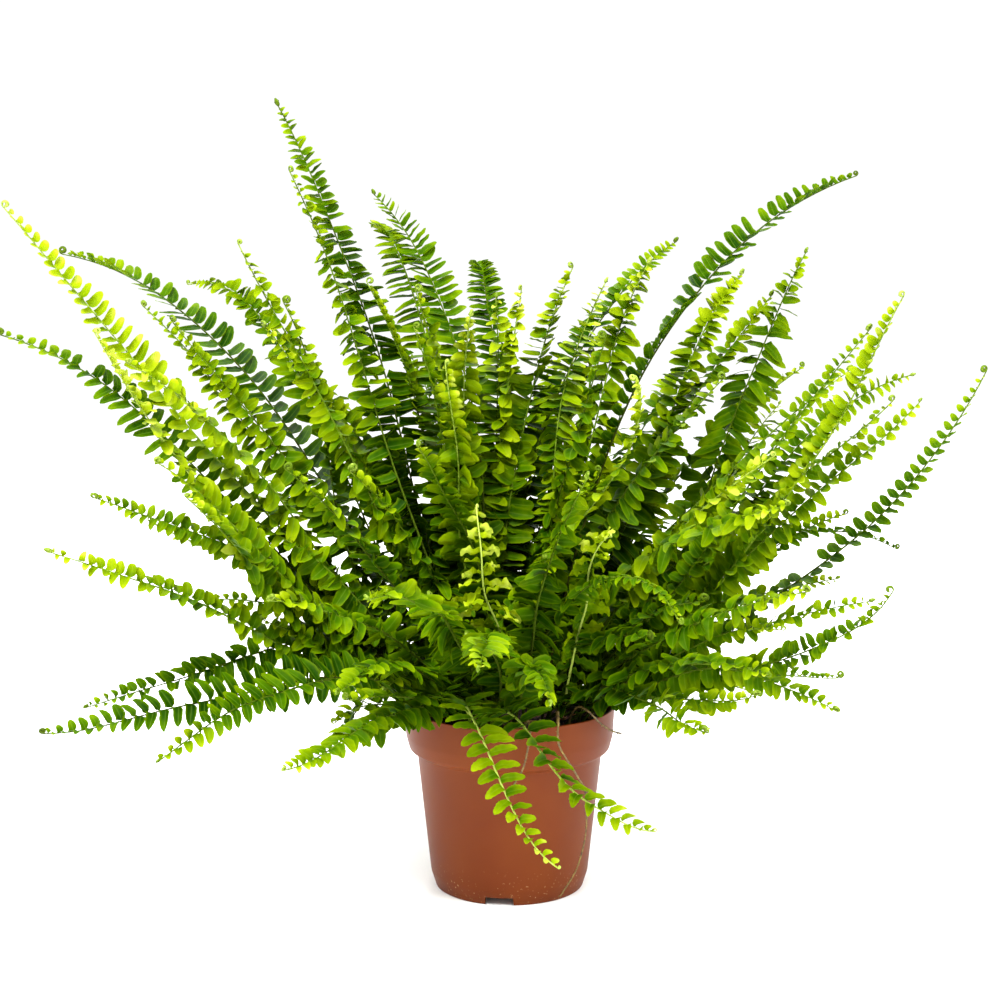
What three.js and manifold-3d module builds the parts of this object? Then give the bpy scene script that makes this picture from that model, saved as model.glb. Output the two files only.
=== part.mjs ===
// A potted sword fern: a thin nursery pot with a collar and a notched foot, the soil in it, and a full
// head of fronds that rise from the soil, arch out all round and hang over the rim in front.
// Millimetres, +Z up, origin at the middle of the pot's foot. +X is the right of the plant as it is
// usually looked at, and -Y is its front.

import * as THREE from 'three';
import { mergeVertices } from 'three/addons/utils/BufferGeometryUtils.js';
import Module from 'manifold-3d';

const wasm = await Module();
wasm.setup();

// Pot
const POT_HEIGHT = 105;
const RIM_RADIUS = 60;
const COLLAR_BOTTOM = 78; // where the collar steps in to the tapering wall
const SHOULDER_RADIUS = 52.6;
const FOOT_TOP = 9; // the wall rounds in below this height
const WAIST_RADIUS = 45;
const FOOT_RADIUS = 42.2;
const FOOT_WIDTH = 2;
const WALL = 1.2;
const FLOOR_UNDERSIDE = 4.8; // the floor is raised so that water runs out of the notches
const ROUND_SIDES = 24;
const NOTCH_AZIMUTHS = [-98, 22, 142];
const NOTCH_WIDTH = 16;
const DRAIN_HOLES = 4;
const DRAIN_RADIUS = 4;
const DRAIN_CIRCLE = 27;

// Soil
const FIT_GAP = 0.3; // between two pieces that touch
const SOIL_EDGE = 96.5;
const SOIL_CROWN = 99;
const STEM_DEPTH = 7; // how far a stem goes down into its hole

// Fronds
const STEM_WIDTH = 2;
const FOOT_OF_STEM = 2.4; // the square part that stands in the soil
const RIB_WIDTH = 1.5; // of the midrib among the leaflets
const RIB_THICKNESS = 1.5;
const BLADE_THICKNESS = 0.7;
const BARE_SHARE = 0.17; // share of a frond's length that is bare stalk
const LAST_LEAFLET = 0.97; // share of the length where the last leaflets end
const LEAFLET_PITCH = 54;
const TUFT_PITCH = 60; // in the tufts, which mostly stand behind other fronds
const SMALL_LEAFLET = 0.6; // a leaflet under this share of the longest is a plain point
const LEAFLET_SWEEP = 16; // degrees that leaflets lean towards the tip
const LEAFLET_LIFT = 10; // degrees that leaflets rise from the midrib
const ROOT_RING = 42; // how far from the middle the lowest fronds are rooted
const LAUNCH_SHARE = 0.38; // how far along its length a frond keeps the direction it starts in
const LANDING_SHARE = 0.32; // and how far from its tip it takes the direction it ends in
const STEEPEST_LAUNCH = 100; // degrees
const CLEARANCE = 3.2; // between two fronds, against points 2 mm apart
const SAMPLE_STEP = 2;
const RIM_CLEARANCE = 5; // of a midrib over the pot's rim
const CROWN_SPACING = 5; // between two midribs at their roots
const TIP_SPACING = 12; // and at their tips
const SETTLE_ROUNDS = 100;
const MIDRIB_SAMPLES = 32;
const LONGEST_PUSH = 4; // that a curve takes in one round of settling

const degrees = THREE.MathUtils.degToRad;
const { clamp, lerp } = THREE.MathUtils;
const UP = new THREE.Vector3(0, 0, 1);

// The fronds of each node, as [azimuth, reach, tip height, bend, roll, leaflet length, sway, hook].
// Azimuth runs from +X towards the back. Reach is the tip's distance from the pot's axis. Bend is how
// many degrees the frond rises above its chord at the root. Roll turns the blade about its midrib.
// Leaflet length is that of the longest ones. Sway, if given, shifts the frond's lower half to the right
// of someone who looks out along it. Hook is how many degrees the frond falls below its chord at the
// tip: as many as the bend, if not given. Fronds in one node grow from one crown.
const FRONDS = {
  frond_left_01: [[-173, 273, 384, -6, -40, 11, 0, 0]],
  frond_left_02: [[165, 273, 359, 6, -10, 20, 8, 36]],
  frond_left_03: [
    [174, 209, 330, -6, -50, 12, -8, 6], [177, 190, 322, 6, -50, 11, 8, 0],
    [180, 107, 281, 6, -30, 12],
  ],
  frond_left_04: [[143, 254, 340, -12, -20, 14, 0, 54], [164, 148, 318, 6, -30, 12, 0, 12]],
  frond_left_05: [[-177, 280, 315, -6, -50, 17, -16, 24], [-154, 203, 253, -24, -50, 14, 32, 6]],
  frond_left_06: [
    [-172, 149, 365, 0, -50, 11], [-175, 125, 333, -42, -40, 10, 0, 6],
   
  ],
  frond_left_07: [[156, 147, 445, 0, -35, 20, -16, 12], [175, 123, 405, 0, -45, 14, -8, 6]],
  frond_left_08: [[-152, 235, 320, -18, -30, 14, 32, -12], [-160, 212, 303, -6, -40, 14, 16, 18]],
  frond_left_09: [
    [-172, 229, 227, 18, -60, 11], [-146, 198, 238, -18, -40, 13, 40, 6],
    [-169, 164, 226, 12, -40, 13],
  ],
  frond_left_10: [[164, 223, 201, 30, -10, 12, 0, 6], [-166, 171, 172, 30, -70, 8, -8]],
  frond_left_11: [[-163, 254, 204, 0, -50, 11, 0, 6], [-164, 141, 161, 12, -30, 12]],
  frond_left_12: [[-168, 236, 114, 72, -60, 12, 48, 12], [-167, 133, 156, -6, -30, 11, 0, 12]],
  frond_left_13: [[-159, 261, 111, 24, -50, 14, -16, 0]],
  frond_left_14: [[-141, 225, 109, 18, -50, 15, -8, 30]],
  frond_left_15: [[-123, 202, 112, 24, -20, 12, 0, 6], [-139, 122, 104, 24, 0, 12, -8, -6]],
  frond_left_16: [[138, 138, 62, 34, -50, 14]],
  frond_back_01: [[127, 136, 395, 24, -10, 19, 0, 36], [120, 173, 376, 36, 0, 17, -32, 66]],
  frond_back_02: [[97, 192, 350, 0, 0, 14, 8, 72], [166, 83, 343, -12, -10, 11, 0, 12]],
  frond_upright_01: [[77, 31, 340, 0, 0, 11, -24, -12], [-155, 24, 325, 18, 0, 10, 0, 36]],
  frond_upright_02: [[67, 98, 351, 30, 0, 11, -8], [-131, 53, 301, -6, 0, 10, 8, 6]],
  frond_upright_03: [[20, 58, 344, 0, 40, 12, 0, 18], [27, 90, 354, 0, 45, 13, 16, 18]],
  frond_right_01: [[46, 145, 366, 30, 20, 15, -16, 42]],
  frond_right_02: [[9, 199, 403, 24, 0, 17, 16, 42]],
  frond_right_03: [
    [33, 167, 347, -18, 20, 13, 0, 18], [24, 170, 335, 6, 20, 14],
  ],
  frond_right_04: [[24, 193, 360, -30, 40, 15, 16, 12]],
  frond_right_05: [[21, 171, 271, -24, 20, 15, 24, 18]],
  frond_right_06: [[-11, 214, 337, -28, 30, 14, 0, -12], [-9, 197, 319, -12, 40, 9, 0, 0]],
  frond_right_07: [[12, 240, 289, -12, 50, 12, 8, 30], [-41, 184, 235, 42, 30, 15, 0, 24]],
  frond_right_08: [
    [3, 217, 277, 24, 40, 11, -8, -6], [-8, 225, 280, 0, 50, 12, 8, -6], [0, 190, 295, 12, 30, 12],
  ],
  frond_right_09: [[5, 273, 293, -18, 20, 10, 16, -24]],
  frond_right_10: [[21, 254, 180, 48, 20, 8], [6, 194, 211, 6, 30, 11, 0, 24]],
  frond_right_11: [[12, 197, 170, 48, 50, 10, 0, 12]],
  frond_right_12: [
    [-3, 203, 166, 30, 40, 10, -8, 6], [-6, 186, 124, 18, 15, 9, -8, 0], [0, 164, 210, 18, 30, 12],
  ],
  frond_right_13: [[-19, 214, 182, 6, 40, 9, 0, -36], [-17, 135, 122, 24, 40, 11]],
  frond_right_14: [[-25, 189, 120, 18, 50, 11, 8, 36], [-35, 158, 131, 24, 60, 8, 0, -12]],
  frond_right_15: [[-22, 158, 159, 6, 40, 11, 0, 24]],
  frond_right_16: [[-53, 164, 121, 66, 30, 12, -16, 0]],
  frond_front_01: [[-81, 152, 57, 42, 0, 17, 48, -6]],
  frond_front_02: [[-61, 150, 70, 72, 0, 14, 48, -24]],
  frond_front_03: [[-99, 111, 233, 0, 0, 12, -8, -60]],
  frond_front_04: [[-69, 139, 220, 0, 0, 13, -16, 36]],
  frond_front_05: [[-106, 232, 205, 25, 20, 15]],
  frond_front_06: [[-66, 195, 186, 72, 0, 9, 8]],
  frond_front_07: [[-118, 102, 261, 25, 0, 14], [-125, 146, 135, 6, 0, 13]],
  frond_front_08: [[-42, 90, 294, 36, 20, 12, 48, -66]],
  frond_front_09: [[-94, 222, 172, 34, 0, 14]],
  tuft_back_01: backTuft(40),
  tuft_back_02: backTuft(64),
  tuft_back_03: backTuft(88),
  tuft_back_04: backTuft(114),
  tuft_back_05: backTuft(136),
  tuft_inner_01: [
    [100, 45, 335, 0, 0, 13], [-150, 60, 320, 3, -30, 13], [-30, 60, 315, 3, 30, 13],
    [-145, 104, 245, 12, -20, 14], [-39, 63, 243, 12, 20, 14], [159, 57, 339, 6, -20, 12],
    [58, 96, 300, 12, 0, 15], [124, 92, 296, 12, 0, 15], [176, 112, 286, 12, -20, 15], [2, 120, 290, 12, 20, 15],
  ],
  tuft_front_01: [
    [-130, 185, 190, 20, -20, 14], [-116, 190, 150, 28, 0, 14], [-140, 150, 250, 12, -20, 14],
    [-110, 117, 185, 30, 0, 14], [-143, 117, 111, 36, -20, 13], [-126, 111, 133, 30, -10, 13],
  ],
  tuft_front_02: [
    [-38, 190, 190, 18, 20, 14], [-46, 185, 150, 25, 10, 14], [-23, 152, 253, 16, 30, 14],
    [-54, 123, 162, 30, 10, 14], [-34, 125, 177, 24, 20, 14],
  ],
  tuft_front_03: [
    [-84, 175, 145, 40, 0, 14], [-76, 150, 250, 15, 0, 13], [-77, 82, 200, 18, 0, 13],
    [-100, 122, 166, 30, 0, 14],
  ],
};

// Wiry runners that creep from the soil over the rim, as points from the soil to their tip.
const RUNNERS = {
  runner_front: [
    [26, -40, 99], [26, -42, 106], [26, -51, 112], [26, -60, 108], [26, -62, 98], [35, -54, 80],
    [41, -49, 68], [42, -46, 58], [42, -44, 43], [37, -44, 22], [28, -46, 7],
  ],
  runner_side: [
    [33, -30, 99], [34, -32, 106], [38, -38, 112], [43, -45, 111], [50, -40, 103], [57, -33, 97],
    [62, -27, 94],
  ],
  runner_short: [
    [8, -42, 99], [8, -44, 103], [9, -53, 107.5], [11, -61, 107], [10, -64, 98], [7, -63, 84],
    [3, -61, 76], [-1, -59, 66],
  ],
};
const RUNNER_WIDTH = 1.2;
const RUNNER_STEP = 8; // length of one straight piece of it

// Four fronds that fan out and down at the back, from high to low.
function backTuft(azimuth) {
  return [
    [azimuth - 7, 218, 290, 18, 0, 16],
    [azimuth + 6, 226, 220, 20, 0, 16],
    [azimuth - 3, 220, 140, 25, 0, 15],
    [azimuth + 8, 200, 80, 32, 0, 14],
  ];
}

function aroundZ(radius, azimuth, z) {
  return new THREE.Vector3(radius * Math.cos(degrees(azimuth)), radius * Math.sin(degrees(azimuth)), z);
}

// Turns a closed geometry into a manifold-3d solid.
function toSolid(geometry) {
  const bare = geometry.clone();
  bare.deleteAttribute('normal');
  bare.deleteAttribute('uv');
  const merged = mergeVertices(bare, 1e-4);
  return new wasm.Manifold(
    new wasm.Mesh({
      numProp: 3,
      vertProperties: new Float32Array(merged.attributes.position.array),
      triVerts: new Uint32Array(merged.index.array),
    }),
  );
}

function toGeometry(solid) {
  const mesh = solid.getMesh();
  return new THREE.BufferGeometry()
    .setAttribute('position', new THREE.BufferAttribute(mesh.vertProperties, 3))
    .setIndex(new THREE.BufferAttribute(mesh.triVerts, 1));
}

// A round body about Z from [radius, height] pairs.
function turned(profile) {
  const points = profile.map(([r, z]) => new THREE.Vector2(r, z));
  return new THREE.LatheGeometry(points, ROUND_SIDES).rotateX(Math.PI / 2);
}

function potGeometry() {
  const floorTop = FLOOR_UNDERSIDE + WALL;
  let pot = toSolid(
    turned([
      [0, FLOOR_UNDERSIDE],
      [FOOT_RADIUS - FOOT_WIDTH, FLOOR_UNDERSIDE],
      [FOOT_RADIUS - FOOT_WIDTH, 0],
      [FOOT_RADIUS, 0],
      [WAIST_RADIUS, FOOT_TOP],
      [SHOULDER_RADIUS, COLLAR_BOTTOM],
      [RIM_RADIUS - 3, COLLAR_BOTTOM + 2.5],
      [RIM_RADIUS - 1, COLLAR_BOTTOM + 10],
      [RIM_RADIUS, POT_HEIGHT],
      [RIM_RADIUS - WALL, POT_HEIGHT],
      [RIM_RADIUS - 1 - WALL, COLLAR_BOTTOM + 10],
      [SHOULDER_RADIUS - WALL, COLLAR_BOTTOM],
      [WAIST_RADIUS - WALL, FOOT_TOP],
      [FOOT_RADIUS - WALL, floorTop],
      [0, floorTop],
    ]),
  );
  for (const azimuth of NOTCH_AZIMUTHS) {
    const notch = new THREE.BoxGeometry(4 * FOOT_WIDTH + 4, NOTCH_WIDTH, 2 * FLOOR_UNDERSIDE)
      .translate(FOOT_RADIUS, 0, 0)
      .rotateZ(degrees(azimuth));
    pot = pot.subtract(toSolid(notch));
  }
  for (let i = 0; i < DRAIN_HOLES; i++) {
    const hole = new THREE.CylinderGeometry(DRAIN_RADIUS, DRAIN_RADIUS, 6 * WALL, 6)
      .rotateX(Math.PI / 2)
      .translate(DRAIN_CIRCLE, 0, FLOOR_UNDERSIDE)
      .rotateZ(degrees((360 / DRAIN_HOLES) * i));
    pot = pot.subtract(toSolid(hole));
  }
  return toGeometry(pot);
}

// The soil fills the pot to a low dome, with a square hole for each stem or runner.
function soilGeometry(roots) {
  const gap = WALL + FIT_GAP;
  let soil = toSolid(
    turned([
      [0, FLOOR_UNDERSIDE + gap],
      [FOOT_RADIUS - gap - 0.4, FLOOR_UNDERSIDE + gap],
      [WAIST_RADIUS - gap, FOOT_TOP + 0.2],
      [SHOULDER_RADIUS - gap, COLLAR_BOTTOM + 0.2],
      [RIM_RADIUS - 1 - gap, COLLAR_BOTTOM + 10.2],
      [RIM_RADIUS - 0.5 - gap, SOIL_EDGE],
      [ROOT_RING, SOIL_CROWN - 1],
      [0, SOIL_CROWN],
    ]),
  );
  for (const { place, width } of roots) {
    const side = width + 2 * FIT_GAP;
    const hole = new THREE.BoxGeometry(side, side, 2 * STEM_DEPTH + 0.8).translate(
      place.x,
      place.y,
      SOIL_CROWN - FIT_GAP,
    );
    soil = soil.subtract(toSolid(hole));
  }
  return toGeometry(soil);
}

// A frond's midrib is a cubic curve from its root in the soil to its tip. The steeper the frond, the
// nearer to the middle of the pot it is rooted.
function midrib([azimuth, reach, height, bend, , , sway = 0, hook = bend], index, crown) {
  const tip = aroundZ(reach, azimuth, height);
  const slope = Math.atan2(height - SOIL_CROWN, reach);
  const ring = ROOT_RING * clamp(1 - slope / degrees(95), 0.15, 1);
  const root = crown ? crown.clone() : aroundZ(ring, azimuth, SOIL_CROWN);
  root.x += Math.cos(2.4 * index);
  root.y += Math.sin(2.4 * index);
  const chord = tip.clone().sub(root);
  const length = chord.length();
  const out = new THREE.Vector3(chord.x, chord.y, 0).normalize();
  const aside = new THREE.Vector3().crossVectors(out, UP).multiplyScalar(sway);
  const climb = Math.atan2(chord.z, Math.hypot(chord.x, chord.y));
  const launch = Math.min(climb + degrees(bend), degrees(STEEPEST_LAUNCH));
  const landing = climb - degrees(hook);
  const along = (angle, distance) =>
    out
      .clone()
      .multiplyScalar(distance * Math.cos(angle))
      .addScaledVector(UP, distance * Math.sin(angle));
  root.add(aside);
  return [
    root,
    root.clone().add(along(launch, LAUNCH_SHARE * length)),
    tip.clone().sub(along(landing, LANDING_SHARE * length)).addScaledVector(aside, 0.6),
    tip,
  ];
}

const bernstein = (u) => [(1 - u) ** 3, 3 * u * (1 - u) ** 2, 3 * u * u * (1 - u), u ** 3];

function pointOn(controls, u) {
  const weights = bernstein(u);
  return controls.reduce((sum, c, i) => sum.addScaledVector(c, weights[i]), new THREE.Vector3());
}

function pointsOn(controls, count) {
  return Array.from({ length: count }, (_, k) => pointOn(controls, k / count));
}

// Adds a push at share u of a curve to the pushes of its movable controls.
function pushCurve(pushes, u, push, sign) {
  const weights = bernstein(u);
  pushes.forEach((p, k) => p.addScaledVector(push, sign * weights[k]));
}

// Pushes two midribs apart wherever they are closer than they may be at that share of their length.
function pushApart(pointsA, pointsB, pushesA, pushesB) {
  pointsA.forEach((pointA, a) => {
    pointsB.forEach((pointB, b) => {
      const apart = pointB.clone().sub(pointA);
      const distance = apart.length();
      const wanted = lerp(CROWN_SPACING, TIP_SPACING, Math.min(a, b) / MIDRIB_SAMPLES);
      if (distance >= wanted) return;
      apart.multiplyScalar((wanted - distance) / (2 * Math.max(distance, 0.1)));
      pushCurve(pushesA, a / MIDRIB_SAMPLES, apart, -1);
      pushCurve(pushesB, b / MIDRIB_SAMPLES, apart, 1);
    });
  });
}

// Lifts a midrib where it would run into the pot's rim.
function liftOverRim(points, pushes) {
  points.forEach((point, a) => {
    const radius = Math.hypot(point.x, point.y);
    const sunk = POT_HEIGHT + RIM_CLEARANCE - point.z;
    if (radius < RIM_RADIUS - 8 || radius > RIM_RADIUS + 4 || sunk < 0) return;
    const weights = bernstein(a / MIDRIB_SAMPLES);
    pushes[1].addScaledVector(UP, sunk * weights[1]);
    pushes[2].addScaledVector(UP, sunk * weights[2]);
  });
}

// The fronds shoulder each other apart in rounds. Their tips stay where they are, their roots stay in
// the soil inside the pot, and fronds of one node keep one root.
function settle(fronds) {
  for (let round = 0; round < SETTLE_ROUNDS; round++) {
    const points = fronds.map((f) => pointsOn(f.controls, MIDRIB_SAMPLES));
    const pushes = fronds.map(() => [new THREE.Vector3(), new THREE.Vector3(), new THREE.Vector3()]);
    fronds.forEach((frond, i) => {
      for (let j = i + 1; j < fronds.length; j++) {
        if (frond.node !== fronds[j].node) pushApart(points[i], points[j], pushes[i], pushes[j]);
      }
      liftOverRim(points[i], pushes[i]);
    });
    fronds.forEach(({ controls }, i) => {
      pushes[i].forEach((push, k) => controls[k].add(push.clampLength(0, LONGEST_PUSH)));
      const shrink = Math.min(1, (ROOT_RING + 2) / Math.hypot(controls[0].x, controls[0].y));
      controls[0].set(controls[0].x * shrink, controls[0].y * shrink, SOIL_CROWN);
    });
    for (const crown of Map.groupBy(fronds, (f) => f.node).values()) {
      const sum = crown.reduce((total, f) => total.add(f.controls[0]), new THREE.Vector3());
      crown.forEach((f) => f.controls[0].copy(sum).divideScalar(crown.length));
    }
  }
}

// Place, tangent, sideways and upward directions at share u of a frond. The roll comes in over the
// first six tenths of its length.
function frameAt(frond, u) {
  const place = pointOn(frond.controls, u);
  const tangent = pointOn(frond.controls, Math.min(u + 0.01, 1))
    .sub(pointOn(frond.controls, Math.max(u - 0.01, 0)))
    .normalize();
  const chord = frond.controls[3].clone().sub(frond.controls[0]).setZ(0).normalize();
  const side = new THREE.Vector3().crossVectors(chord, UP);
  const face = new THREE.Vector3().crossVectors(side, tangent).normalize();
  face.applyAxisAngle(tangent, degrees(frond.roll) * clamp(u / 0.6, 0, 1));
  return { place, tangent, face, side: new THREE.Vector3().crossVectors(tangent, face) };
}

// The points that fronds already fill, in cells, so that a new leaflet can be kept clear of them.
class TakenSpace {
  cells = new Map();

  key(x, y, z) {
    return `${x},${y},${z}`;
  }

  cellOf(point) {
    return [point.x, point.y, point.z].map((c) => Math.floor(c / CLEARANCE));
  }

  add(points, node) {
    for (const point of points) {
      const key = this.key(...this.cellOf(point));
      if (!this.cells.has(key)) this.cells.set(key, []);
      this.cells.get(key).push({ point, node });
    }
  }

  isClear(points, node) {
    return points.every((point) => {
      const [x, y, z] = this.cellOf(point);
      for (let i = x - 1; i <= x + 1; i++) {
        for (let j = y - 1; j <= y + 1; j++) {
          for (let k = z - 1; k <= z + 1; k++) {
            const near = this.cells.get(this.key(i, j, k)) ?? [];
            if (near.some((n) => n.node !== node && n.point.distanceTo(point) < CLEARANCE)) return false;
          }
        }
      }
      return !inPot(point);
    });
  }
}

function inPot(point) {
  const radius = Math.hypot(point.x, point.y);
  const insideRim = radius < RIM_RADIUS - 5 && point.z > SOIL_CROWN + 2;
  return radius < RIM_RADIUS + 3 && point.z < POT_HEIGHT + 3 && !insideRim;
}

// A grid of points over the four-cornered patch a, b, c, d, no more than a step apart.
function patchPoints([a, b, c, d]) {
  const rows = Math.ceil(Math.max(a.distanceTo(b), d.distanceTo(c)) / SAMPLE_STEP);
  const columns = Math.ceil(Math.max(a.distanceTo(d), b.distanceTo(c)) / SAMPLE_STEP);
  const points = [];
  for (let i = 0; i <= rows; i++) {
    for (let j = 0; j <= columns; j++) {
      const near = a.clone().lerp(d, j / columns);
      const far = b.clone().lerp(c, j / columns);
      points.push(near.lerp(far, i / rows));
    }
  }
  return points;
}

// How long leaflets are along the frond: q is 0 at the first pair and 1 at the tip.
function leafletShare(q) {
  return (0.62 + 0.38 * Math.min(1, q / 0.25)) * (1 - q ** 2.4) ** 0.7;
}

// The outer corners of a leaflet between two places on the midrib's edge, from the frond's foot to its
// tip: one for a pointed leaflet, two for a blunt one. A leaflet leans towards the frond's tip.
function leafletCorners(from, to, frame, side, length, lift, pointed) {
  const outward = frame.side.clone().multiplyScalar(side * Math.cos(degrees(LEAFLET_SWEEP)));
  outward.addScaledVector(frame.tangent, Math.sin(degrees(LEAFLET_SWEEP)));
  outward.multiplyScalar(Math.cos(degrees(lift))).addScaledVector(frame.face, Math.sin(degrees(lift)));
  const width = from.distanceTo(to);
  const corner = (reach, forward) =>
    from
      .clone()
      .lerp(to, 0.5)
      .addScaledVector(outward, reach * length)
      .addScaledVector(frame.tangent, forward * width);
  return pointed ? [corner(1, 0.15)] : [corner(0.86, -0.26), corner(1, 0.22)];
}

// Each leaflet takes the first of these that clears the other fronds: bent up or down, then shorter.
const LEAFLET_CHOICES = [
  [0, 1], [14, 1], [-14, 1], [28, 1], [-28, 1], [0, 0.75], [24, 0.75], [-24, 0.75], [42, 0.8], [-42, 0.8],
  [0, 0.5], [30, 0.5], [-30, 0.5],
];

// Builds one frond as one closed blade: a midrib strip whose edges run out into leaflets.
class FrondBlade {
  corners = []; // pairs of positions, upper and lower
  faces = []; // triangles of corner numbers, anticlockwise from above
  outline = []; // corner numbers, anticlockwise from above

  constructor(frond, taken) {
    this.frond = frond;
    this.taken = taken;
    const shares = this.edgeShares();
    const right = shares.right.map((u) => this.ribCorner(u, 1));
    const left = shares.left.map((u) => this.ribCorner(u, -1));
    const tip = this.addCorner(frond.controls[3], frameAt(frond, 1).face, BLADE_THICKNESS);
    const last = right.length - 1;
    this.faces.push([left[last], right[last], tip]);
    this.outline.push(right[0]);
    for (let k = 0; k < last; k++) {
      this.faces.push([left[k], right[k], left[k + 1]], [right[k], right[k + 1], left[k + 1]]);
      const between = shares.right.slice(k, k + 2);
      this.outline.push(...this.leaflet(right[k], right[k + 1], between, 1), right[k + 1]);
    }
    this.outline.push(tip, left[last]);
    for (let k = last; k > 0; k--) {
      const between = shares.left.slice(k - 1, k + 1);
      this.outline.push(...this.leaflet(left[k], left[k - 1], between, -1), left[k - 1]);
    }
  }

  // Shares of the length at which each edge of the midrib has a corner: two on the stalk, then one
  // between leaflets. The leaflets of the two sides alternate, and get narrower towards the tip.
  edgeShares() {
    const { controls, filler } = this.frond;
    const length = controls[3].distanceTo(controls[0]);
    const pitch = filler ? TUFT_PITCH : LEAFLET_PITCH;
    const pairs = Math.max(3, Math.round((length * (LAST_LEAFLET - BARE_SHARE)) / pitch));
    const share = (step) => lerp(BARE_SHARE, LAST_LEAFLET, Math.max(0, step / pairs) ** 0.85);
    const steps = Array.from({ length: pairs + 1 }, (_, k) => k);
    return {
      right: [0, BARE_SHARE / 2, ...steps.map(share)],
      left: [0, BARE_SHARE / 2, ...steps.map((k) => (k ? share(k - 0.5) : 0.9 * BARE_SHARE))],
    };
  }

  addCorner(middle, face, thickness) {
    const half = face.clone().multiplyScalar(thickness / 2);
    this.corners.push([middle.clone().add(half), middle.clone().sub(half)]);
    return this.corners.length - 1;
  }

  ribCorner(u, side) {
    const frame = frameAt(this.frond, u);
    const width = lerp(STEM_WIDTH, RIB_WIDTH, clamp(u / BARE_SHARE, 0, 1));
    const edge = frame.place.clone().addScaledVector(frame.side, (side * width) / 2);
    return this.addCorner(edge, frame.face, RIB_THICKNESS);
  }

  middleOf(corner) {
    return this.corners[corner][0].clone().lerp(this.corners[corner][1], 0.5);
  }

  // Adds a leaflet on the rib between two corners, at these shares of its length, and returns the
  // leaflet's outer corners in outline order. There is none on the stalk, nor where none finds room.
  leaflet(from, to, [start, end], side) {
    const u = (start + end) / 2;
    if (u < BARE_SHARE) return [];
    const q = (u - BARE_SHARE) / (1 - BARE_SHARE);
    const [a, d] = [this.middleOf(from), this.middleOf(to)];
    const frame = frameAt(this.frond, u);
    const { node, leafletLength, filler } = this.frond;
    const pointed = filler || leafletShare(q) < SMALL_LEAFLET;
    for (const [turn, share] of LEAFLET_CHOICES) {
      const [low, high] = side > 0 ? [a, d] : [d, a];
      const length = leafletLength * leafletShare(q) * share;
      const tips = leafletCorners(low, high, frame, side, length, LEAFLET_LIFT + turn, pointed);
      if (side < 0) tips.reverse();
      const [b, c] = [tips[0], tips.at(-1)];
      const points = patchPoints([a, b, c, d]);
      if (!this.taken.isClear(points, node)) continue;
      this.taken.add(points, node);
      const face = new THREE.Vector3().crossVectors(b.clone().sub(a), d.clone().sub(a)).normalize();
      const outer = tips.map((tip) => this.addCorner(tip, face, BLADE_THICKNESS));
      if (!pointed) this.faces.push([from, ...outer]);
      this.faces.push([from, outer.at(-1), to]);
      return outer;
    }
    return [];
  }

  geometry() {
    const positions = this.corners.flat().flatMap((p) => p.toArray());
    const upper = (c) => 2 * c;
    const lower = (c) => 2 * c + 1;
    const triangles = this.faces.flatMap(([a, b, c]) => [
      [upper(a), upper(b), upper(c)],
      [lower(a), lower(c), lower(b)],
    ]);
    this.outline.forEach((p, i) => {
      const q = this.outline[(i + 1) % this.outline.length];
      triangles.push([upper(p), lower(p), lower(q)], [upper(p), lower(q), upper(q)]);
    });
    return new THREE.BufferGeometry()
      .setAttribute('position', new THREE.Float32BufferAttribute(positions, 3))
      .setIndex(triangles.flat());
  }
}

// The square foot of a stem, which stands in its hole in the soil.
function stemFoot(place, width) {
  const top = SOIL_CROWN + 1.5;
  const bottom = SOIL_CROWN - STEM_DEPTH;
  const middle = (top + bottom) / 2;
  return new THREE.BoxGeometry(width, width, top - bottom).translate(place.x, place.y, middle);
}

// A runner is a thin square cord along a smooth curve through its points. Its lowest stretch stands in
// its hole in the soil.
function runnerGeometry(points) {
  const curve = new THREE.CatmullRomCurve3([
    new THREE.Vector3(points[0][0], points[0][1], SOIL_CROWN - STEM_DEPTH),
    ...points.map((p) => new THREE.Vector3(...p)),
  ]);
  const half = RUNNER_WIDTH / 2;
  const corners = [[-half, -half], [half, -half], [half, half], [-half, half]];
  const section = new THREE.Shape(corners.map((c) => new THREE.Vector2(...c)));
  const steps = Math.round(curve.getLength() / RUNNER_STEP);
  const options = { steps, extrudePath: curve, bevelEnabled: false };
  return new THREE.ExtrudeGeometry(section, options);
}

function plantFronds() {
  const fronds = [];
  for (const [node, rows] of Object.entries(FRONDS)) {
    const filler = node.startsWith('tuft');
    let crown = null;
    for (const row of rows) {
      const controls = midrib(row, fronds.length, crown);
      crown ??= controls[0];
      fronds.push({ node, controls, roll: row[4], leafletLength: row[5], filler });
    }
  }
  settle(fronds);
  return fronds;
}

const leafGreen = new THREE.MeshStandardMaterial({ color: 0x5f9a1c, roughness: 0.5 });
const potBrown = new THREE.MeshStandardMaterial({ color: 0xa5593b, roughness: 0.55 });
const runnerBrown = new THREE.MeshStandardMaterial({ color: 0x8a7a3c, roughness: 0.7 });
const soilBrown = new THREE.MeshStandardMaterial({ color: 0x2a1a12, roughness: 0.95 });

function named(name, geometry, material) {
  const mesh = new THREE.Mesh(geometry, material);
  mesh.name = name;
  return mesh;
}

const fern = new THREE.Group();
fern.add(named('pot', potGeometry(), potBrown));

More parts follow.
